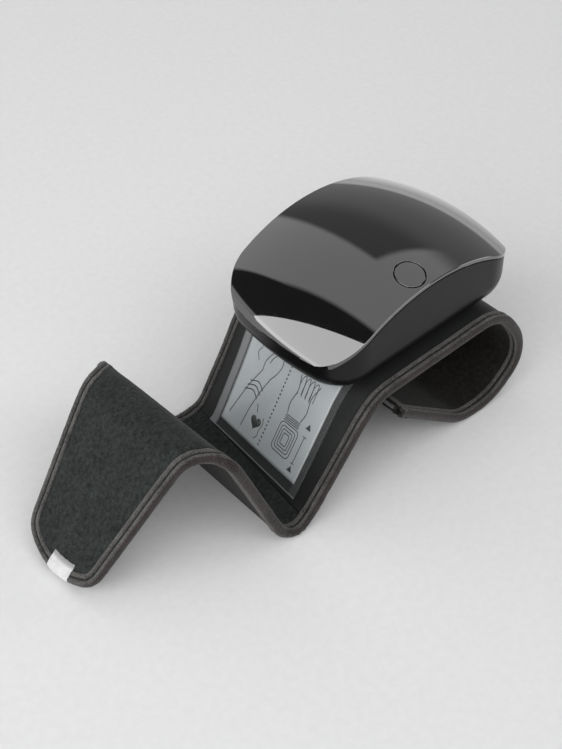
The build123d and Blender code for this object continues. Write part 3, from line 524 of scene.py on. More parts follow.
class Look:
    """Node tree of a material or the world, with short calls for its nodes."""

    def __init__(self, owner, shader, **sockets):
        owner.use_nodes = True
        self.owner = owner
        self.tree = owner.node_tree
        self.shader = self.tree.nodes[shader]
        for key, value in sockets.items():
            self.shader.inputs[key.replace("_", " ")].default_value = value

    def made(self, **links):
        """The finished material, once these outputs are linked to its shader."""
        for key, output in links.items():
            self.tree.links.new(output, self.shader.inputs[key.replace("_", " ")])
        return self.owner

    def node(self, kind, inputs=None, **settings):
        made = self.tree.nodes.new(kind)
        for key, value in settings.items():
            setattr(made, key, value)
        for key, value in (inputs or {}).items():
            if isinstance(value, bpy.types.NodeSocket):
                self.tree.links.new(value, made.inputs[key])
            else:
                made.inputs[key].default_value = value
        return made

    def place(self, kind="Object", scale=(1, 1, 1)):
        """Coordinates of a point, in metres, or in millimetres of the unrolled strap for kind UV."""
        source = self.node("ShaderNodeTexCoord").outputs[kind]
        return self.node("ShaderNodeMapping", {"Vector": source, "Scale": scale}).outputs["Vector"]

    def axes(self, vector):
        return self.node("ShaderNodeSeparateXYZ", {0: vector}).outputs

    def noise(self, place, scale, detail=3.0, roughness=0.55, twist=0.0):
        return self.node("ShaderNodeTexNoise", {"Vector": place, "Scale": scale, "Detail": detail,
                                                "Roughness": roughness, "Distortion": twist}).outputs["Fac"]

    def wave(self, place, scale, way, distortion=0.0, detail=2.0, detail_scale=1.0):
        return self.node("ShaderNodeTexWave", {"Vector": place, "Scale": scale, "Distortion": distortion,
                                               "Detail": detail, "Detail Scale": detail_scale},
                         bands_direction=way).outputs["Fac"]

    def ramp(self, value, *stops):
        made = self.node("ShaderNodeValToRGB", {"Fac": value})
        for k, (at, colour) in enumerate(stops):
            stop = made.color_ramp.elements[k] if k < 2 else made.color_ramp.elements.new(at)
            stop.position = at
            stop.color = (*colour[:3], 1.0)
        return made.outputs["Color"]

    def tones(self, value, low, high, tint=(1, 1, 1)):
        """Greys from one to another, each given as a value and the screen level there."""
        return self.ramp(value, *((at, grey(level, tint)) for at, level in (low, high)))

    def between(self, value, start, end, low=0.0, high=1.0, kind="LINEAR"):
        """A value between two limits, spread from one number to another and clamped beyond."""
        inputs = {"Value": value, "From Min": start, "From Max": end, "To Min": low, "To Max": high}
        return self.node("ShaderNodeMapRange", inputs, interpolation_type=kind).outputs["Result"]

    def eased(self, value, start, end, high=1.0):
        return self.between(value, start, end, 0.0, high, "SMOOTHSTEP")

    def maths(self, kind, a, b=0.0):
        return self.node("ShaderNodeMath", {0: a, 1: b}, operation=kind).outputs["Value"]

    def total(self, *pairs):
        """Sum of values, each times its weight."""
        summed = 0.0
        for value, weight in pairs:
            summed = self.maths("ADD", summed, self.maths("MULTIPLY", value, weight))
        return summed

    def mix(self, share, first, second):
        return self.node("ShaderNodeMix", {"Factor": share, 2: first, 3: second}).outputs[0]

    def mix_colour(self, share, first, second):
        inputs = {"Factor": share, 6: first, 7: second}
        return self.node("ShaderNodeMix", inputs, data_type="RGBA").outputs[2]

    def bump(self, height, distance, strength=1.0, below=None):
        inputs = {"Height": height, "Distance": distance, "Strength": strength}
        if below is not None:
            inputs["Normal"] = below
        return self.node("ShaderNodeBump", inputs).outputs["Normal"]


BLACK = (0.0, 0.0, 0.0)
WHITE = (1.0, 1.0, 1.0)


def grey(level, tint=(1, 1, 1)):
    """Linear colour from a screen level of 0 to 255."""
    c = level / 255
    linear = c / 12.92 if c <= 0.04045 else ((c + 0.055) / 1.055) ** 2.4
    return (*(linear * t for t in tint), 1.0)


def new_look(name, **sockets):
    return Look(bpy.data.materials.new(name), "Principled BSDF", **sockets)


def gloss_look():
    """Polished black cover: almost a mirror, with faint waviness and fine wear in its gloss."""
    look = new_look("gloss_cover", IOR=1.7, Coat_Weight=1.0, Coat_Roughness=0.02, Coat_IOR=1.7)
    place = look.place()
    return look.made(Base_Color=look.tones(look.noise(place, 60.0), (0.3, 7), (0.8, 11)),
                     Roughness=look.between(look.noise(place, 900.0, 2.0), 0, 1, 0.03, 0.07),
                     Normal=look.bump(look.noise(place, 45.0, 1.0), 0.00004, 0.2))


def plastic_look(name, level, rough, tint=(1, 1, 1), shine=0.4):
    look = new_look(name, Specular_IOR_Level=shine)
    place = look.place()
    grain = look.noise(place, 1400.0, 2.0)
    broad = look.noise(place, 70.0, 2.0)
    return look.made(Base_Color=look.tones(broad, (0.3, level * 0.93), (0.7, level * 1.07), tint),
                     Roughness=look.between(grain, 0, 1, rough - 0.05, rough + 0.05),
                     Normal=look.bump(grain, 0.00002, 0.35))


def metal_look(name, colour, rough):
    look = new_look(name, Metallic=1.0)
    streak = look.noise(look.place(scale=(1, 1, 12)), 500.0)
    return look.made(Base_Color=look.ramp(streak, (0.3, [c * 0.8 for c in colour]), (0.7, colour)),
                     Roughness=look.between(streak, 0, 1, rough - 0.06, rough + 0.08),
                     Normal=look.bump(streak, 0.00001, 0.3))


def board_look():
    """Circuit board: green solder mask with a faint pattern of tracks."""
    look = new_look("board", Roughness=0.45)
    tracks = look.node("ShaderNodeTexBrick", {"Vector": look.place(), "Scale": 240.0, "Mortar Size": 0.06,
                                              "Color1": grey(46, (0.5, 1.3, 0.7)),
                                              "Color2": grey(52, (0.5, 1.3, 0.7)),
                                              "Mortar": grey(84, (0.6, 1.2, 0.7))}).outputs
    return look.made(Base_Color=tracks["Color"], Normal=look.bump(tracks["Fac"], 0.00002, 0.4))


def felt_look(name, dark, light, tint, fuzz=0.00022, sheen=0.12):
    """Brushed loop fabric: matted fibres, fine curled hairs, a heathered tone and a soft sheen."""
    look = new_look(name, Roughness=0.95, Specular_IOR_Level=0.1, Sheen_Weight=sheen, Sheen_Roughness=0.5)
    place = look.place()
    fibre = look.noise(look.place(scale=(1.0, 1.7, 1.3)), 1900.0, 4.0, 0.75)
    tuft = look.noise(place, 700.0, 4.0, 0.65)
    heather = look.noise(place, 150.0, 5.0, 0.7)
    matted = look.total((tuft, 0.45), (fibre, 0.45), (heather, 0.1))
    base = look.tones(matted, (0.4, dark), (0.6, light), tint)
    curl = look.noise(place, 420.0, 2.0, 0.5, twist=2.2)
    hair = look.ramp(curl, (0.48, BLACK), (0.5, WHITE), (0.52, BLACK))
    patch = look.ramp(look.noise(place, 95.0, 2.0), (0.45, BLACK), (0.65, (0.6, 0.6, 0.6)))
    share = look.maths("MULTIPLY", hair, patch)
    soft = look.bump(tuft, fuzz, 0.9)
    return look.made(Base_Color=look.mix_colour(share, base, grey(light * 1.55, tint)),
                     Normal=look.bump(fibre, fuzz * 0.6, 0.7, soft))


def satin_look():
    """Smooth woven outer face: a very fine weave with a faint sheen."""
    look = new_look("outer_fabric", Specular_IOR_Level=0.22, Sheen_Weight=0.06, Sheen_Roughness=0.4)
    weave = look.wave(look.place("UV"), 0.55, "DIAGONAL", 1.2, 1.0, 1.2)
    place = look.place()
    broad = look.noise(place, 60.0, 4.0)
    creased = look.bump(broad, 0.0006, 0.35)
    return look.made(Base_Color=look.tones(broad, (0.3, 20), (0.75, 29), (0.96, 1.03, 1.0)),
                     Roughness=look.between(look.noise(place, 1800.0, 2.0), 0, 1, 0.5, 0.68),
                     Normal=look.bump(weave, 0.00004, 0.35, creased))


def tape_look():
    """Ribbed binding tape: a random tone, painted shade in its groove, darker browner painted shade where it
    turns in.
    """
    look = new_look("binding", Roughness=0.88, Specular_IOR_Level=0.15,
                    Sheen_Weight=0.15, Sheen_Roughness=0.5)
    tint, fold_tint = (1.05, 1.0, 0.95), (1.2, 0.97, 0.92)
    thread = look.place("UV")
    rib = look.wave(thread, 0.85, "DIAGONAL", 3.4, 2.0, 2.0)
    fine = look.noise(look.place("UV", (0.7, 1.6, 1.0)), 1.7, 3.0, 0.7)
    broad = look.noise(look.place(), 130.0, 4.0, 0.65)
    tone = look.total((rib, 0.1), (fine, 0.6), (broad, 0.3))
    girth = look.axes(thread)["Y"]
    off_groove = look.maths("ABSOLUTE", look.maths("SUBTRACT", girth, GROOVE_AT))
    worn = look.tones(tone, (0.38, 26), (0.62, 94), tint)
    # Painted shade: the groove between the two ridges is darkened in the colour
    shaded = look.mix_colour(look.between(off_groove, 0.6, 0.3), worn, grey(20, tint))
    # Painted shade: the outer wall, where the tape turns in, is darker and browner in the colour
    turned_in_shade = look.tones(tone, (0.38, 22), (0.62, 52), fold_tint)
    return look.made(Base_Color=look.mix_colour(look.between(girth, 4.1, 4.8), shaded, turned_in_shade),
                     Normal=look.bump(fine, 0.0003, 1.0, look.bump(rib, 0.0001, 0.6)))


def cloth_look(name, level, thread_size=0.9, frayed=0.0):
    """Plain weave. frayed is how far from its first edge the cloth is greyed and worn, in millimetres."""
    look = new_look(name, Roughness=0.8, Specular_IOR_Level=0.25, Sheen_Weight=0.2)
    thread = look.place("UV")
    weave = look.maths("MULTIPLY", *(look.wave(thread, thread_size, way) for way in "XY"))
    colour = look.tones(look.noise(look.place(), 300.0), (0.3, level * 0.9), (0.7, level))
    if frayed:
        ragged = look.total((look.axes(thread)["X"], 1.0), (look.noise(thread, 2.5), frayed))
        worn = look.tones(look.noise(thread, 6.0), (0.35, level * 0.45), (0.6, level * 0.8))
        colour = look.mix_colour(look.between(ragged, 2.0 * frayed, 1.2 * frayed), colour, worn)
    return look.made(Base_Color=colour, Normal=look.bump(weave, 0.00008, 0.5))


def label_look():
    """Printed panel: a pale cool ground with a faint cloud, glossy under its film."""
    look = new_look("label_print", Roughness=0.45, Specular_IOR_Level=0.4,
                    Coat_Weight=0.5, Coat_Roughness=0.18)
    place = look.place()
    waves = look.bump(look.noise(place, 70.0, 1.0), 0.0004, 0.25)
    colour = look.tones(look.noise(place, 45.0, 2.0), (0.3, 166), (0.7, 180), (0.94, 1.01, 1.04))
    grain = look.noise(place, 900.0, 2.0)
    return look.made(Base_Color=colour, Normal=look.bump(grain, 0.00002, 0.2, waves))


def film_look():
    """Clear vinyl window: nearly invisible over the print, hazy at its welded borders beside the label."""
    look = new_look("clear_film", IOR=1.45, Specular_IOR_Level=0.5)
    place = look.place()
    waves = look.noise(place, 90.0, 2.0)
    own = look.axes(look.place("UV"))
    back_weld = look.eased(own["Y"], 20.9, 21.7, 0.6)
    front_weld = look.eased(own["Y"], -20.9, -21.7, 0.07)
    # Painted highlight: a thin, nearly opaque grey line along the film's lower edge
    low_edge_highlight = look.eased(own["X"], 0.55, 0.4, 0.75)
    clear = 0.045
    return look.made(Base_Color=look.tones(waves, (0.2, 118), (0.8, 134), (0.96, 1.0, 1.02)),
                     Roughness=look.between(look.noise(place, 500.0, 2.0), 0, 1, 0.28, 0.42),
                     Alpha=look.total((back_weld, 1.0), (front_weld, 1.0), (low_edge_highlight, 1.0), (clear, 1.0)),
                     Normal=look.bump(waves, 0.0003, 0.25))


LOOKS = {
    "gloss_cover": gloss_look(),
    "hull_plastic": plastic_look("hull_plastic", 10, 0.3, shine=0.22),
    "inner_plastic": plastic_look("inner_plastic", 120, 0.5),
    "board": board_look(),
    "steel": metal_look("steel", (0.62, 0.62, 0.64), 0.3),
    "brass": metal_look("brass", (0.72, 0.52, 0.24), 0.28),
    "rubber": plastic_look("rubber", 22, 0.75),
    "outer_fabric": satin_look(),
    "loop_fabric": felt_look("loop_fabric", 12, 46, (0.9, 1.05, 1.01)),
    "lining_fabric": felt_look("lining_fabric", 12, 34, (1.08, 1.0, 0.9), sheen=0.05),
    "binding": tape_look(),
    "hook_fabric": felt_look("hook_fabric", 16, 34, (1, 1, 1), fuzz=0.0004),
    "white_cloth": cloth_look("white_cloth", 196, frayed=1.4),
    "label_print": label_look(),
    "clear_film": film_look(),
    "thread": cloth_look("thread", 20, thread_size=2.0),
    "ink": plastic_look("ink", 52, 0.5, (0.95, 1.02, 1.02)),
}


# Strap pieces: sheets on grids of places on the unrolled strap

def finished(obj, slot, *nodes, body=None):
    """Hides the CAD nodes a piece stands for and ties it to the body it moves with; with no body its place
    is baked into its mesh.
    """
    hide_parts(*nodes)
    if body:
        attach(obj, body)
    else:
        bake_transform(obj)
    return obj


def strap_sheet(name, slot, grid, low, high, dip=None, own=None):
    """A closed layer of the strap over a grid of places on it. dip lowers its upper face.

    own are the grid's places in a piece of its own, when that is not laid straight on the strap.
    """
    sink = 0 if dip is None else dip(*grid)
    top = strap_point(*grid, high - sink).reshape(-1, 3)
    bottom = strap_point(*grid, low).reshape(-1, 3)
    uv = np.stack(own or grid, -1).reshape(-1, 2)
    return mesh_piece(name, np.concatenate([top, bottom]), sheet_faces(*grid[0].shape), LOOKS[slot],
                      uv=np.concatenate([uv, uv]))


def band_grid(start, end, margin, columns=72):
    """Grid of places from a length u to another one, kept a margin inside the strap's edge."""
    u = np.linspace(start, end, int(end - start) + 2)
    half = edge_half_width(u) - margin
    share = np.linspace(-1, 1, columns)
    return np.repeat(u[:, None], columns, 1), half[:, None] * share[None, :]


def tail_grid(end, margin, spacing=1.0, columns=72):
    """Grid of places from the rounded tip to a length u, kept a margin inside the strap's edge."""
    half = (edge_path[tip_index:] - edge_out[tip_index:] * margin) * (1, -1)
    along = lengths_of(half)
    split = along[np.argmin(np.linalg.norm(half - tip_corner, axis=1))]
    stop = np.interp(end, half[along > split][:, 0], along[along > split])
    share = np.linspace(-1, 1, columns)
    tip_row = at_lengths(np.abs(share) * split, along, half)
    tip_row[:, 1] *= np.sign(share)
    down = np.linspace(0, 1, int(end / spacing) + 2)
    side = at_lengths(split + (stop - split) * down, along, half)
    end_row = np.stack([np.full(columns, end), share * side[-1, 1]], 1)
    a, v = down[:, None, None], (share[None, :, None] + 1) / 2
    low_side, high_side = (side * (1, -1))[:, None, :], side[:, None, :]
    blend = (1 - a) * tip_row[None] + a * end_row[None] + (1 - v) * low_side + v * high_side
    blend -= (1 - a) * ((1 - v) * tip_row[0] + v * tip_row[-1])
    blend -= a * ((1 - v) * end_row[0] + v * end_row[-1])
    return blend[..., 0], blend[..., 1]


def flat_patch(start, length, width):
    """Grid of places of a rectangle in steps of about a millimetre."""
    u = np.linspace(start, start + length, int(length) + 2)
    y = np.linspace(-width / 2, width / 2, int(width) + 2)
    return np.meshgrid(u, y, indexing="ij")


def seam_dip(u, y):
    """How far a face sinks beside the binding, where its stitching pulls it in."""
    inside = edge_half_width(u) - np.abs(y) - BINDING_LIP
    return SEAM_DIP * np.exp(-((inside - SEAM_DIP_AT) / SEAM_DIP_SPREAD) ** 2)


slope = polar_step((0.0, 0.0), 1.0, RISE_ANGLE)
label_u = length_to(corners[4] + slope * LABEL_START)
film_u = length_to(corners[4] + slope * FILM_START)

loop_grid = tail_grid(film_u - FACE_SPLIT, FABRIC_MARGIN)
loop_face = strap_sheet("tail_loop_face", "loop_fabric", loop_grid, CORE_TOP, FACE, seam_dip)
finished(loop_face, "loop_fabric", "tail_loop_fabric", "tail_padding")

outer_grid = band_grid(film_u - FACE_SPLIT + FACE_SPLIT_GAP, END_U, FABRIC_MARGIN)
outer_face = strap_sheet("strap_outer_face", "outer_fabric", outer_grid, CORE_TOP, FACE, seam_dip)
finished(outer_face, "outer_fabric", "cuff_outer_fabric", body=ROOT_BODY)

lining_grid = tail_grid(END_U, FABRIC_MARGIN)
lining = strap_sheet("skin_side_lining", "lining_fabric", lining_grid, LINING_LOW, BLADDER_LOW)
finished(lining, "lining_fabric", "cuff_lining", "tail_lining")

padding_grid = tail_grid(length_to(corners[5]), PADDING_MARGIN, spacing=2.0, columns=36)
padding = strap_sheet("strap_padding", "rubber", padding_grid,
                      BLADDER_LOW + PADDING_GAP, CORE_TOP - PADDING_GAP)
finished(padding, "rubber", "cuff_padding")


# Edge binding and its stitches

def binding_profile():
    """Closed section of the folded tape: distance out from the strap's edge line, and height."""
    lip, high, wall = -BINDING_LIP, BINDING_HALF, -BINDING_WALL
    inner_ridge = [(lip, FACE - 0.12), (lip + 0.03, high - 0.42), (lip + 0.22, high - 0.18),
                   (lip + 0.6, high - 0.05), (lip + 1.0, high - 0.1), (lip + 1.3, high - 0.3)]
    groove = [(lip + 1.5, high - 0.64), (lip + GROOVE_FROM_LIP, high - 0.7), (lip + 2.2, high - 0.64)]
    outer_ridge = [(lip + 2.4, high - 0.28), (lip + 2.75, high - 0.06), (lip + 3.2, high - 0.12),
                   (-0.65, high - 0.42), (-0.35, high - 0.8), (-0.1, high - 1.25), (0.0, high - 1.6)]
    outside = np.array(inner_ridge + groove + outer_ridge)
    inside = np.array([(wall, high - 1.7), (wall - 0.25, high - 1.15), (wall - 0.7, FACE - 0.25)])
    return np.concatenate([outside, outside[::-1] * (1, -1), inside * (1, -1), inside[::-1]])


def eased_noise(generator, rows, columns, row_reach, column_reach):
    """Random heights on a grid from -1 to 1, eased along its rows and columns."""
    field = generator.normal(0, 1, (rows, columns))
    for axis, reach in ((0, row_reach), (1, column_reach)):
        weight = np.hanning(2 * reach + 3)[1:-1]
        weight /= np.linalg.norm(weight)
        field = np.apply_along_axis(lambda line: np.convolve(line, weight, mode="same"), axis, field)
    return np.clip(field / NOISE_LIMIT, -1, 1)


def crumple_at(u):
    """How much the tape is crumpled at a length u: most in the bends of the valley."""
    at_foot = FOOT_CRUMPLE * np.exp(-((u - VALLEY_U) / FOOT_CRUMPLE_SPREAD) ** 2)
    return CRUMPLE + at_foot + RIDGE_CRUMPLE * np.exp(-((u - RIDGE_U) / RIDGE_CRUMPLE_SPREAD) ** 2)


def edge_binding():
    """The tape that wraps the strap's edge, swept along its outline, and another across the curled end."""
    profile = binding_profile()
    out, high = profile.T
    columns, rows = len(profile), len(edge_path)
    generator = np.random.default_rng(7)
    window = 2 * SWAY_REACH + 1
    sway = np.convolve(generator.normal(0, 1, rows + window - 1), np.hanning(window), mode="valid")
    sway *= SWAY / np.abs(sway).max()
    outward = unit(np.roll(profile, -1, 0) - np.roll(profile, 1, 0)) @ np.array([[0, 1], [-1, 0]])
    outward *= np.sign(outward[:1, 1])
    # The tape's two lips and its hidden inner side stay even
    number = np.arange(columns)
    shown = (number >= LIP_POINTS) & (number < columns - INNER_POINTS - LIP_POINTS)
    crumple = eased_noise(generator, rows, columns, 1, 2) * crumple_at(edge_path[:, 0])[:, None] * shown
    reach = out + sway[:, None] * (out < -SWAY_FROM_EDGE) + crumple * outward[:, 0]
    place = edge_path[:, None, :] + edge_out[:, None, :] * reach[..., None]
    around = strap_point(place[..., 0], place[..., 1], high + crumple * outward[:, 1])
    girth = lengths_of(profile)
    half = columns // 2
    folded = np.where(high > 0, girth, 2 * np.interp(0, -high[:half], girth[:half]) - girth)
    count = int(2 * HALF_STRAP / EDGE_SPACING)
    y = np.linspace(-HALF_STRAP + END_TAPE_MARGIN, HALF_STRAP - END_TAPE_MARGIN, count)
    end = strap_point(END_U + out, y[:, None], high)
    points = np.concatenate([around.reshape(-1, 3), end.reshape(-1, 3)])
    faces = tube_faces(rows, columns) + tube_faces(count, columns, rows * columns)
    uv = np.concatenate([grid_uv(edge_along, folded), grid_uv(y, folded)])
    return mesh_piece("edge_binding", points, faces, LOOKS["binding"], uv=uv)


def stitch_ends(hand):
    """Ends of the stitches in the groove of the binding, on the upper face for hand 1, the lower for -1."""
    path = edge_path - edge_out * STITCH_INSET
    along = lengths_of(path)
    height = (BINDING_HALF - STITCH_SINK) * hand
    ends = []
    for place in np.arange(STITCH_START, along[-1] - STITCH_LENGTH, STITCH_LENGTH + STITCH_GAP):
        u, y = at_lengths(np.array((place, place + STITCH_LENGTH)), along, path).T
        start, end = strap_point(u, y, height)
        above = strap_point(u[0], y[0], height + hand)
        ends.append((start, end, unit(above - start)))
    return ends


def binding_stitches():
    """Short rounded threads, each from one point to another and arched a little, in one mesh."""
    rings = [(0.0, 0.35), (0.12, 0.85), (0.3, 1.0), (0.7, 1.0), (0.88, 0.85), (1.0, 0.35)]
    circle = round_loop((0.0, 0.0), STITCH_RADIUS, STITCH_SIDES)
    points, faces = [], []
    for start, end, up in stitch_ends(1) + stitch_ends(-1):
        side = np.cross(unit(end - start), up)
        faces += tube_faces(len(rings), STITCH_SIDES, len(points))
        for share, fat in rings:
            arch = 1 - (2 * share - 1) ** 2
            centre = start + (end - start) * share + up * STITCH_RADIUS * STITCH_ARCH * arch
            points += list(centre + fat * (circle[:, :1] * side + circle[:, 1:] * up))
    return mesh_piece("binding_stitches", points, faces, LOOKS["thread"])


binding = edge_binding()
finished(binding, "binding", "cuff_binding", "tail_binding")
stitches = binding_stitches()
finished(stitches, "binding")


# Label panel, its marks and the clear film

def label_place(a, b, start):
    """Places on the strap of points a along the label or film and b across; both are sewn on turned."""
    place = rotated(np.stack([a, b], -1), math.radians(LABEL_TURN)) + (start, LABEL_SHIFT)
    return place[..., 0], place[..., 1]


def curve(*points, count=10):
    """Smooth path through a few points."""
    path = np.array(points, float)
    path = np.concatenate([[2 * path[0] - path[1]], path, [2 * path[-1] - path[-2]]])
    out = []
    for p0, p1, p2, p3 in zip(path, path[1:], path[2:], path[3:]):
        for t in np.linspace(0, 1, count, endpoint=False):
            out.append(0.5 * (2 * p1 + (p2 - p0) * t + (2 * p0 - 5 * p1 + 4 * p2 - p3) * t ** 2
                              + (3 * p1 - p0 - 3 * p2 + p3) * t ** 3))
    out.append(path[-2])
    return np.array(out)


def rounded_box(low, high, corner):
    """Outline of a rectangle with rounded corners, closed by its first two points."""
    left, right = low[0] + corner, high[0] - corner
    front, back = low[1] + corner, high[1] - corner
    centres = ((right, back), (left, back), (left, front), (right, front))
    turn = math.pi / 2
    arcs = [arc(centre, corner, k * turn, (k + 1) * turn, 6) for k, centre in enumerate(centres)]
    return np.concatenate(arcs + [arcs[0][:2]])


def heart(centre, size):
    t = np.linspace(0, 2 * math.pi, 40, endpoint=False)
    tall = 13 * np.cos(t) - 5 * np.cos(2 * t) - 2 * np.cos(3 * t) - np.cos(4 * t)
    return np.stack([centre[0] + tall * size / 32, centre[1] + 16 * np.sin(t) ** 3 * size / 32], 1)


def label_strokes():
    """Lines of generic pictograms: a forearm with a cuff, and a monitor on a wrist seen from above."""
    arm = [curve((4, 18.5), (10, 16.8), (17, 14.6), (24, 11.5)),
           curve((3, 11.2), (10, 10.4), (17, 8.8), (23, 6.6)),
           curve((24, 11.5), (27, 11.6), (30.5, 10.0), (32.5, 8.2)),
           curve((23, 6.6), (26, 4.8), (29, 3.9), (31.8, 4.4)),
           curve((32.5, 8.2), (33.4, 6.4), (31.8, 4.4)),
           curve((27.5, 9.6), (30.0, 8.6), (32.0, 6.9))]
    wrist = [curve((17.6, -12.6), (21, -13.4), (26, -12.8), (31, -14.4)),
             curve((17.6, -5.8), (21, -5.2), (26, -6.2), (31, -5.0))]
    fine = [curve((26.0, 14.6), (28.5, 16.2), (31.0, 15.2), (32.6, 17.2)),
            [(10.6, 6.2), (13.2, 7.6)],
            curve((2.4, 3.4), (4.0, 2.4), (6.0, 2.6), (8.0, 2.0), (10.5, 2.6)),
            [(5, -16.8), (14.5, -16.8)]]
    fine += [[(at, -17.6), (at, -16.0)] for at in (5.0, 14.5)]
    for b in (-6.3, -8.3, -10.3, -12.3):
        fine.append(curve((24.5, b), (29.5, b + 0.3), (31.4, b - 0.7), (29.5, b - 1.5), (25, b - 1.6)))
    cuff = [curve((14.6 + shift, 16.0 - shift * 0.3), (15.9 + shift, 12.2 - shift * 0.3),
                  (14.2 + shift, 9.0 - shift * 0.3)) for shift in (0.0, 1.8, 3.6)]
    monitor = [rounded_box((4.5 + inset, -14 + inset), (14.5 - inset, -5.0 - inset), corner)
               for inset, corner in ((0.0, 1.6), (1.1, 1.0), (2.1, 0.6), (3.1, 0.4))]
    band = [[(15.2 + 0.62 * k, -12.9), (15.2 + 0.62 * k, -5.6)] for k in range(4)]
    widths = ((arm + wrist, INK_WIDTH), (fine, FINE_INK), (cuff, 0.4), (monitor + band, 0.3))
    return [(np.array(path, float), width) for paths, width in widths for path in paths]


def label_fills():
    """Filled marks: the dots between the two fields, a heart and two arrow heads."""
    dots = [round_loop((2.0 + 1.45 * k, 0.2), 0.36, 8) for k in range(23)]
    arrows = [np.array([(a, -18.0), (a + 2.0, -16.8), (a, -15.6)]) for a in (17.2, 2.2)]
    return dots + [heart((7.4, 5.4), 5.2)] + arrows


def slab_faces(faces, size):
    """Closes flat faces into thin slabs: their copies turned over, and a wall along every open edge."""
    edges = [(a, b) for face in faces for a, b in zip(face, face[1:] + face[:1])]
    known = set(edges)
    walls = [(b, a, a + size, b + size) for a, b in edges if (b, a) not in known]
    return faces + [tuple(i + size for i in face[::-1]) for face in faces] + walls


def panel_pictograms():
    """All marks of the label as thin slabs of ink that lie on its face."""
    flat, faces = [], []
    for path, width in label_strokes():
        way = unit(np.gradient(path, axis=0))
        side = np.stack([-way[:, 1], way[:, 0]], 1) * width / 2
        first = len(flat)
        flat += list(np.stack([path + side, path - side], 1).reshape(-1, 2))
        faces += [tuple(first + 2 * i + k for k in (0, 1, 3, 2)) for i in range(len(path) - 1)]
    for loop in label_fills():
        first, count = len(flat), len(loop)
        flat += [loop.mean(0), *loop]
        faces += [(first, first + 1 + k, first + 1 + (k + 1) % count) for k in range(count)]
    along, over = label_place(*np.array(flat).T, label_u + LABEL_RAISE)
    face = FACE + LABEL_THICKNESS
    points = np.concatenate([strap_point(along, over, face + h) for h in (INK_THICKNESS, -INK_THICKNESS)])
    return mesh_piece("panel_pictograms", points, slab_faces(faces, len(flat)), LOOKS["ink"])


grid = flat_patch(0, LABEL_LENGTH, LABEL_WIDTH)
label = strap_sheet("instruction_panel", "label_print", label_place(*grid, label_u + LABEL_RAISE),
                    FACE + LAID_GAP, FACE + LABEL_THICKNESS, own=grid)
finished(label, "label_print", "label_panel", body=ROOT_BODY)
marks = panel_pictograms()
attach(marks, ROOT_BODY)

grid = flat_patch(0, FILM_LENGTH, FILM_WIDTH)
film_low = FACE + LABEL_THICKNESS + FILM_GAP
film = strap_sheet("panel_film", "clear_film", label_place(*grid, film_u + FILM_RAISE),
                   film_low, film_low + FILM_THICKNESS, own=grid)
finished(film, "clear_film", "label_film", body=ROOT_BODY)

# Hook patch under the tip
grid = flat_patch(HOOK_START, HOOK_LENGTH, HOOK_WIDTH)
hook = strap_sheet("tail_hook_pad", "hook_fabric", grid,
                   LINING_LOW - HOOK_THICKNESS, LINING_LOW - LAID_GAP)
finished(hook, "hook_fabric", "tail_hook_patch", body=TAIL_BODY)


def pull_tag():
    """White ribbon folded over the binding at the tip, with a frayed inner edge."""
    half = BINDING_HALF + TAG_CLEARANCE
    y = np.linspace(TAG_FRONT, TAG_BACK, TAG_COLUMNS)
    tip = edge_path[np.abs(edge_path[:, 0]) < TIP_ROUND]
    tip = tip[np.argsort(tip[:, 1])]
    lead = np.interp(y, tip[:, 1], tip[:, 0])
    fray = np.random.default_rng(3).uniform(-TAG_FRAY, TAG_FRAY, len(y))
    over_lip = [(TAG_LENGTH, FACE + 0.1), (TAG_LENGTH - 0.6, FACE + 0.2), (4.9, FACE + 0.26),
                (4.1, half - 0.12), (3.0, half), (2.0, half + 0.02)]
    turn = np.array([(1.1, half), (0.65, half - 0.24), (0.28, half - 0.64), (0.02, half - 1.15)])
    under = [(3.0, -half - 0.02), (TAG_LENGTH - 1.2, -half + 0.02)]
    section = np.concatenate([over_lip, turn, [(-0.1, 0.0)], turn[::-1] * (1, -1), under])
    outward = unit(np.gradient(section, axis=0)) @ np.array([[0, 1], [-1, 0]])
    shells = []
    for layer in (1, 0):
        ring = section + outward * TAG_THICKNESS * layer
        u = lead[None, :] + ring[:, :1]
        u[:2] += fray * np.array([[1.0], [0.6]])
        shells.append(strap_point(u, y[None, :], ring[:, 1:]).reshape(-1, 3))
    uv = grid_uv(lengths_of(section), y)
    return mesh_piece("white_pull_tag", np.concatenate(shells), sheet_faces(len(section), len(y)),
                      LOOKS["white_cloth"], uv=np.concatenate([uv, uv]))


finished(pull_tag(), "white_cloth", "pull_tag", body=TAIL_BODY)

# Housing: its frame stands on the strap's run
tilt = math.radians(RUN_TILT)
seat = polar_step(polar_step(corners[5], HOUSING_ALONG, RUN_TILT), FACE, 90 + RUN_TILT)
base_at = np.array((seat[0], 0.0, seat[1]))
base_ways = np.array(((math.cos(tilt), 0, math.sin(tilt)), (0, 1, 0), (-math.sin(tilt), 0, math.cos(tilt))))
half_length = HOUSING_LENGTH / 2
half_width = HOUSING_WIDTH / 2
draft = math.tan(math.radians(HULL_DRAFT))
arch_centre = HOUSING_HEIGHT - ARCH_RADIUS
far_turn = math.asin((half_length - END_RADIUS) / (ARCH_RADIUS - END_RADIUS))
lip_height = arch_centre + (ARCH_RADIUS - END_RADIUS) * math.cos(far_turn)


def end_roll(turn):
    """Radius, centre and last angle of the roll that leaves the arch at an angle and runs to the lip."""
    way = np.array((math.sin(turn), math.cos(turn)))
    leave = np.array((0, arch_centre)) + ARCH_RADIUS * way
    chord = np.array((half_length, lip_height)) - leave
    radius = -(chord @ chord) / (2 * chord @ way)
    centre = leave - radius * way
    return radius, centre, math.atan2(half_length - centre[0], lip_height - centre[1])


# First row: the near end. Second row: the far end
roll_starts = np.array((math.radians(NEAR_ROLL_START), far_turn))
roll_radii, roll_centres, roll_ends = (np.array(v) for v in zip(*(end_roll(turn) for turn in roll_starts)))


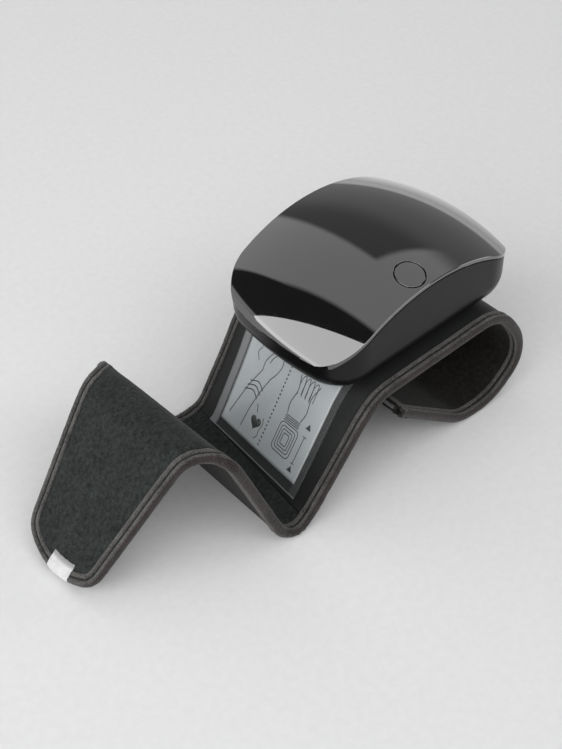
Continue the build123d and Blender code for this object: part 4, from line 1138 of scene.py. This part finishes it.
def end_values(x):
    """The side a place lies on, its distance from the top, and the roll of its end."""
    side = np.where(x > 0, 1.0, -1.0)
    end = np.asarray(x > 0).astype(int)
    return side, np.abs(x), roll_radii[end], roll_centres[end], roll_starts[end], roll_ends[end]


def drop(y):
    """How far the crown lies below its middle at a place across."""
    return CROWN_RADIUS - np.sqrt(CROWN_RADIUS ** 2 - y ** 2)


def arch_distance(x, z):
    """Signed distance of a point in the housing's length plane from the arch line."""
    _, x, radius, centre, first, last = end_values(x)
    away, over = x - centre[..., 0], z - centre[..., 1]
    on_arch = np.hypot(x, z - arch_centre) - ARCH_RADIUS
    on_roll = np.hypot(away, over) - radius
    beside = away * np.sin(last) + over * np.cos(last) - radius
    rolled = np.where(np.arctan2(away, over) < last, on_roll, beside)
    return np.where(np.arctan2(x, z - arch_centre) < first, on_arch, rolled)


def cover_point(t, y, depth=0.0):
    """Point and normal of the cover's surface, at a length t along the arch from its top."""
    side, t, radius, centre, first, last = end_values(t)
    past = t - ARCH_RADIUS * first
    on_arch = past < 0
    angle = np.where(on_arch, t / ARCH_RADIUS, np.minimum(first + past / radius, last))
    below = np.maximum(past - radius * (last - first), 0)
    reach = np.where(on_arch, ARCH_RADIUS, radius)
    x = np.where(on_arch, 0.0, centre[..., 0]) + reach * np.sin(angle) + below * np.cos(angle)
    z = np.where(on_arch, arch_centre, centre[..., 1]) + reach * np.cos(angle) - below * np.sin(angle)
    sink = drop(y) + depth
    slope_y = y / np.sqrt(CROWN_RADIUS ** 2 - y ** 2)
    point = np.stack([side * (x - sink * np.sin(angle)), y, z - sink * np.cos(angle)], -1)
    return point, unit(np.stack([side * np.sin(angle), slope_y, np.cos(angle)], -1))


def cover_length(x, z):
    """Length t along the arch of the surface point under a place."""
    side, x, radius, centre, first, last = end_values(x)
    away, over = x - centre[..., 0], z - centre[..., 1]
    angle = np.arctan2(x, z - arch_centre)
    roll_angle = np.arctan2(away, over)
    beyond = away * np.cos(last) - over * np.sin(last)
    on_roll = radius * (np.minimum(roll_angle, last) - first) + np.where(roll_angle > last, beyond, 0)
    return side * np.where(angle < first, ARCH_RADIUS * angle, ARCH_RADIUS * first + on_roll)


# The wall's plan, a quarter at a time: its long side, its corner and its bowed end
foot_length = half_length + LIP_MARGIN - lip_height * draft
foot_width = half_width - (HOUSING_HEIGHT - drop(half_width)) * draft
quarter_kind = np.repeat((0, 1, 2), QUARTER_COUNTS)
quarter_share = np.concatenate([np.arange(n) / n for n in QUARTER_COUNTS])
RING = 4 * len(quarter_kind)


def wall_point(height):
    """Points round the wall at one height each, from the middle of the back side and clockwise."""
    total = len(quarter_kind)
    turn, place = np.divmod(np.arange(RING), total)
    place = np.where(turn % 2 == 1, total - place, place)
    at_end = place >= total
    kind = np.where(at_end, 2, quarter_kind[np.minimum(place, total - 1)])
    share = np.where(at_end, 1.0, quarter_share[np.minimum(place, total - 1)])
    below = np.clip(HULL_ROUND - height, 0, HULL_ROUND)
    inset = HULL_ROUND - np.sqrt(HULL_ROUND ** 2 - below ** 2)
    wide = foot_width + height * draft - inset
    long = foot_length + height * draft - inset
    corner = PLAN_ROUND - inset
    bow = CROWN_RADIUS - inset
    lean = np.arcsin((wide - corner) / (bow - corner))
    centre_x = long - bow + (bow - corner) * np.cos(lean)
    angle = math.pi / 2 - share * (math.pi / 2 - lean)
    end_angle = lean * (1 - share)
    parts = [kind == 0, kind == 1]
    x = np.select(parts, [centre_x * share, centre_x + corner * np.cos(angle)],
                  long - bow + bow * np.cos(end_angle))
    y = np.select(parts, [wide, wide - corner + corner * np.sin(angle)], bow * np.sin(end_angle))
    return np.stack([np.where(turn >= 2, -x, x), np.where((turn == 1) | (turn == 2), -y, y), height], 1)


def rim_height(depth):
    """Height round the wall at which it meets the surface that lies a depth under the cover's."""
    low = np.full(RING, SEARCH_FROM)
    high = np.full(RING, HOUSING_HEIGHT + SEARCH_OVER)
    for _ in range(RIM_HALVINGS):
        middle = (low + high) / 2
        x, y, _ = wall_point(middle).T
        above = arch_distance(x, middle) + drop(y) > -depth
        high = np.where(above, middle, high)
        low = np.where(above, low, middle)
    return (low + high) / 2


def inside_loop(points, loop):
    """Which points lie inside a closed outline."""
    x, y = points.T
    inside = np.zeros(len(points), bool)
    for (x1, y1), (x2, y2) in zip(loop, np.roll(loop, -1, 0)):
        if y1 != y2:
            inside ^= ((y1 > y) != (y2 > y)) & (x < x1 + (y - y1) * (x2 - x1) / (y2 - y1))
    return inside


def filled(outer, hole, spacing):
    """Triangles between an outline and a round hole, over their points and an even cloud between them."""
    reach = np.abs(outer).max(0)
    cloud = np.meshgrid(*(np.arange(-r, r, spacing) for r in reach))
    cloud = np.stack(cloud, -1).reshape(-1, 2)
    middle = hole.mean(0)
    from_outline = np.min(np.linalg.norm(cloud[:, None, :] - outer[None, :, :], axis=2), axis=1)
    from_hole = np.linalg.norm(cloud - middle, axis=1) - np.linalg.norm(hole[0] - middle)
    keep = inside_loop(cloud, outer) & (from_outline > OUTLINE_CLEARANCE * spacing)
    keep &= from_hole > HOLE_CLEARANCE * spacing
    flat = np.concatenate([outer, hole, cloud[keep]])
    edges = [(i, (i + 1) % len(outer)) for i in range(len(outer))]
    edges += [(len(outer) + i, len(outer) + (i + 1) % len(hole)) for i in range(len(hole))]
    made = delaunay_2d_cdt([Vector(p) for p in flat], edges, [], TRIANGLES_INSIDE, MERGE_DISTANCE)
    source = [origins[0] for origins in made[3]]
    triangles = np.array([[source[i] for i in face] for face in made[2]])
    on_hole = (triangles >= len(outer)) & (triangles < len(outer) + len(hole))
    return flat, triangles[~on_hole.all(1)]


def row_normals(rows):
    """Normals of closed rows of points, from the way along each row and the way from row to row."""
    along = np.roll(rows, -1, 1) - np.roll(rows, 1, 1)
    return unit(np.cross(along, np.gradient(rows, axis=0)))


def eased_edge(start, crease, end, count):
    """Rows of points that round a crease, from one line beside it to another."""
    share = np.linspace(0, 1, count)[:, None, None]
    return (1 - share) ** 2 * start + 2 * share * (1 - share) * crease + share ** 2 * end


def button_loop(radius):
    """Places on the cover's surface on a circle about the button."""
    return round_loop(button_at, radius, HOLE_SIDES)


def button_ring(radius, depth=0.0):
    """Points on a circle about the button, a depth under the cover's surface."""
    return cover_point(*button_loop(radius).T, depth)[0]


def place_on_cover(points):
    x, y, z = points.T
    return np.stack([cover_length(x, z), y], 1)


def edge_and_wall(top_ring):
    """Rows of the cover's edge and wall, from its top surface to its rim."""
    crease_height = rim_height(0.0)
    low_rim = np.maximum(rim_height(COVER_THICKNESS), lip_height - RIM_BELOW_LIP)
    turn_height = np.maximum(crease_height - CREASE_ROUND, low_rim + LEAST_WALL)
    start, _ = cover_point(*top_ring.T)
    edge = eased_edge(start, wall_point(crease_height), wall_point(turn_height), EDGE_ROWS)
    share = np.linspace(0, 1, WALL_ROWS)[1:, None]
    wall = [wall_point(row) for row in turn_height * (1 - share) + low_rim * share]
    return np.concatenate([edge, wall])


def cover_mesh():
    """Cover: dense crowned surface, rounded crease, wall, underside and a rounded hole for the button."""
    edge = place_on_cover(wall_point(rim_height(0.0)))
    way = unit(np.roll(edge, -1, 0) - np.roll(edge, 1, 0))
    top_ring = edge + np.stack([way[:, 1], -way[:, 0]], 1) * CREASE_ROUND
    rows = edge_and_wall(top_ring)
    hole_edge = eased_edge(button_ring(BUTTON_RADIUS + RIM_ROUND), button_ring(BUTTON_RADIUS),
                           button_ring(BUTTON_RADIUS, RIM_ROUND), RIM_ROWS)
    hole_rows = np.concatenate([hole_edge, button_ring(BUTTON_RADIUS, COVER_THICKNESS)[None]])
    flat, top_faces = filled(top_ring, button_loop(BUTTON_RADIUS + RIM_ROUND), TOP_SPACING)
    top, top_normals = cover_point(*flat.T)
    flat, under_faces = filled(place_on_cover(rows[-1]), button_loop(BUTTON_RADIUS), UNDER_SPACING)
    under, under_normals = cover_point(*flat.T, COVER_THICKNESS)
    side_normals = row_normals(rows)[1:-1]
    chamfer = unit(side_normals[0] * (1 - CHAMFER_LEAN) + side_normals[EDGE_ROWS - 3] * CHAMFER_LEAN)
    share = np.array(CHAMFER_SHARE)[:, None, None]
    side_normals[:EDGE_ROWS - 2] = unit(side_normals[:EDGE_ROWS - 2] * (1 - share) + chamfer * share)
    hole_normals = row_normals(hole_rows)[1:-1]
    rows, hole_rows = rows[1:-1], hole_rows[1:-1]
    points = [top, rows.reshape(-1, 3), hole_rows.reshape(-1, 3), under]
    normals = [top_normals, side_normals.reshape(-1, 3), hole_normals.reshape(-1, 3), -under_normals]
    _, rows_at, hole_at, under_at = np.cumsum([0] + [len(part) for part in points])[:4]
    faces = top_faces.tolist() + (under_faces[:, ::-1] + under_at).tolist()
    for at, ring_at, made in ((rows_at, 0, rows), (hole_at, RING, hole_rows)):
        ring = ring_at + np.arange(made.shape[1])
        middle = at + np.arange(made.shape[0] * made.shape[1]).reshape(made.shape[:2])
        chain = np.concatenate([[ring], middle, [under_at + ring]])
        after = np.roll(chain, -1, 1)
        faces += np.stack([chain[:-1], after[:-1], after[1:], chain[1:]], -1).reshape(-1, 4).tolist()
    return np.concatenate(points), faces, np.concatenate(normals)


def button_mesh():
    """Button cap: a disc of the cover's own surface with a rounded edge, a short wall and a flat back."""
    radii = np.linspace(0, CAP_RADIUS - CAP_ROUND, DISC_ROWS + 1)[1:]
    disc, disc_normals = (np.stack(v) for v in zip(*(cover_point(*button_loop(r).T) for r in radii)))
    edge = eased_edge(disc[-1], button_ring(CAP_RADIUS), button_ring(CAP_RADIUS, CAP_ROUND), RIM_ROWS)
    edge = np.concatenate([edge, button_ring(CAP_RADIUS, CAP_HEIGHT)[None]])
    rows = np.concatenate([disc, edge[1:]])
    row_ways = np.concatenate([disc_normals, -row_normals(edge)[1:]])
    middle, middle_normal = cover_point(*button_at[:, None])
    foot, _ = cover_point(*button_at[:, None], CAP_HEIGHT)
    points = np.concatenate([middle, rows.reshape(-1, 3), foot])
    normals = np.concatenate([middle_normal, row_ways.reshape(-1, 3), -middle_normal])
    last = 1 + (len(rows) - 1) * HOLE_SIDES
    faces = grid_faces(len(rows), HOLE_SIDES, start=1, wrap=True, flip=True)
    for k in range(HOLE_SIDES):
        after = (k + 1) % HOLE_SIDES
        faces += [(0, 1 + k, 1 + after), (len(points) - 1, last + after, last + k)]
    return points, faces, normals


def housing_piece(name, mesh):
    """A glossy object from points, faces and normals in the housing's own frame."""
    points, faces, normals = mesh
    return mesh_piece(name, base_at + points @ base_ways, faces, LOOKS["gloss_cover"],
                      normals=normals @ base_ways)


button_height = arch_centre + math.sqrt((ARCH_RADIUS - drop(BUTTON_Y)) ** 2 - BUTTON_X ** 2)
button_at = np.array((float(cover_length(BUTTON_X, button_height)), BUTTON_Y))
finished(housing_piece("glossy_cover", cover_mesh()), "gloss_cover", "top_cover", body=ROOT_BODY)
finished(housing_piece("button_cap", button_mesh()), "gloss_cover", "start_button", body=BUTTON_BODY)

# The CAD nodes that show get the finish of their slot
for part in frame["record"]["subparts"]:
    material_of(frame["nodes"][part["node"]], LOOKS[part["material_slot"]])


# Floor, light, world and camera

def floor():
    look = new_look("floor", Roughness=0.9, Specular_IOR_Level=0.2)
    grain = look.noise(look.place(), 350.0)
    colour = look.ramp(grain, (0.3, (0.62, 0.62, 0.625)), (0.7, (0.65, 0.65, 0.655)))
    material = look.made(Base_Color=colour)
    points = np.pad(round_loop((0.0, 0.0), FLOOR_RADIUS / MM, FLOOR_SIDES), ((0, 0), (0, 1)))
    mesh_piece("floor", points, [range(FLOOR_SIDES)], material, smooth=False)


def softbox():
    """Rectangular softbox that faces +X, with its inner edge slanted across it."""
    data = bpy.data.lights.new("softbox", "AREA")
    data.shape = "RECTANGLE"
    data.size, data.size_y = SOFTBOX_SIZE
    data.energy = SOFTBOX_POWER
    made = bpy.data.objects.new("softbox", data)
    bpy.context.scene.collection.objects.link(made)
    slant = math.radians(SOFTBOX_SLANT)
    inward = Vector((0.0, -math.cos(slant), -math.sin(slant)))
    edge_way = Vector((0.0, math.sin(slant), -math.cos(slant)))
    backward = Vector((-1.0, 0.0, 0.0))
    made.matrix_world = Matrix((inward, edge_way, backward)).transposed().to_4x4()
    made.location = Vector(SOFTBOX_EDGE_AT) + inward * SOFTBOX_SIZE[0] / 2
    made.visible_camera = False


def studio_world():
    """Soft studio round the object: a broad ceiling, a dark gap beside the softbox and a dim back wall.

    The camera, and rays that pass the film or leave the gloss almost level, see a plain pale backdrop.
    """
    look = Look(bpy.data.worlds.new("studio"), "Background", Color=(1.0, 1.0, 1.0, 1.0))
    ways = look.axes(look.node("ShaderNodeTexCoord").outputs["Generated"])
    x, y, z = (ways[axis] for axis in "XYZ")

    def zone(limits):
        """1 inside a box of directions and 0 outside it, eased at its sides."""
        share = 1.0
        for axis, (low, high) in limits.items():
            share = look.maths("MULTIPLY", share, look.eased(ways[axis], low - ZONE_EASE, low + ZONE_EASE))
            share = look.maths("MULTIPLY", share, look.eased(ways[axis], high + ZONE_EASE, high - ZONE_EASE))
        return share

    light = look.between(x, GAP_EDGE - GAP_EASE, GAP_EDGE + GAP_EASE, GAP_LEVEL, CEILING_LEVEL)
    behind = look.maths("MULTIPLY", look.eased(x, WALL_EDGE - WALL_EASE, WALL_EDGE + WALL_EASE),
                        look.eased(look.total((y, 1.0), (z, -WALL_SLOPE)), *WALL_TOP))
    light = look.mix(behind, light, WALL_LEVEL)
    low_side = look.total((x, 1.0), (z, -SIDE_SLOPE))
    light = look.mix(look.eased(low_side, 0.0, SIDE_FADE), light, SIDE_LEVEL)
    low_front = look.total((y, 1.0), (z, FRONT_SLOPE))
    light = look.mix(look.eased(low_front, 0.0, FRONT_FADE), light, FRONT_LEVEL)
    for limits, level in ZONES:
        light = look.mix(zone(limits), light, level)
    rays = look.node("ShaderNodeLightPath").outputs
    level_ray = look.maths("MULTIPLY", rays["Is Glossy Ray"], look.eased(z, LEVEL_RAY_END, 0.0))
    seen = look.maths("MAXIMUM", rays["Is Camera Ray"], rays["Is Transmission Ray"])
    seen = look.maths("MAXIMUM", seen, level_ray)
    bpy.context.scene.world = look.made(Strength=look.mix(seen, light, BACKDROP_LEVEL))


def camera():
    """Camera at the photo's angle."""
    data = bpy.data.cameras.new("camera")
    data.lens = CAMERA_LENS
    data.sensor_width = CAMERA_SENSOR
    data.clip_start = CAMERA_NEAR
    made = bpy.data.objects.new("camera", data)
    bpy.context.scene.collection.objects.link(made)
    made.location = [MM * (a + b) for a, b in zip(CAMERA_FROM_RUN, (corners[5][0], 0.0, corners[5][1]))]
    made.rotation_euler = Euler([math.radians(a) for a in CAMERA_TURN])
    bpy.context.scene.camera = made


floor()
softbox()
studio_world()
camera()
bpy.context.scene.view_settings.view_transform = "Standard"
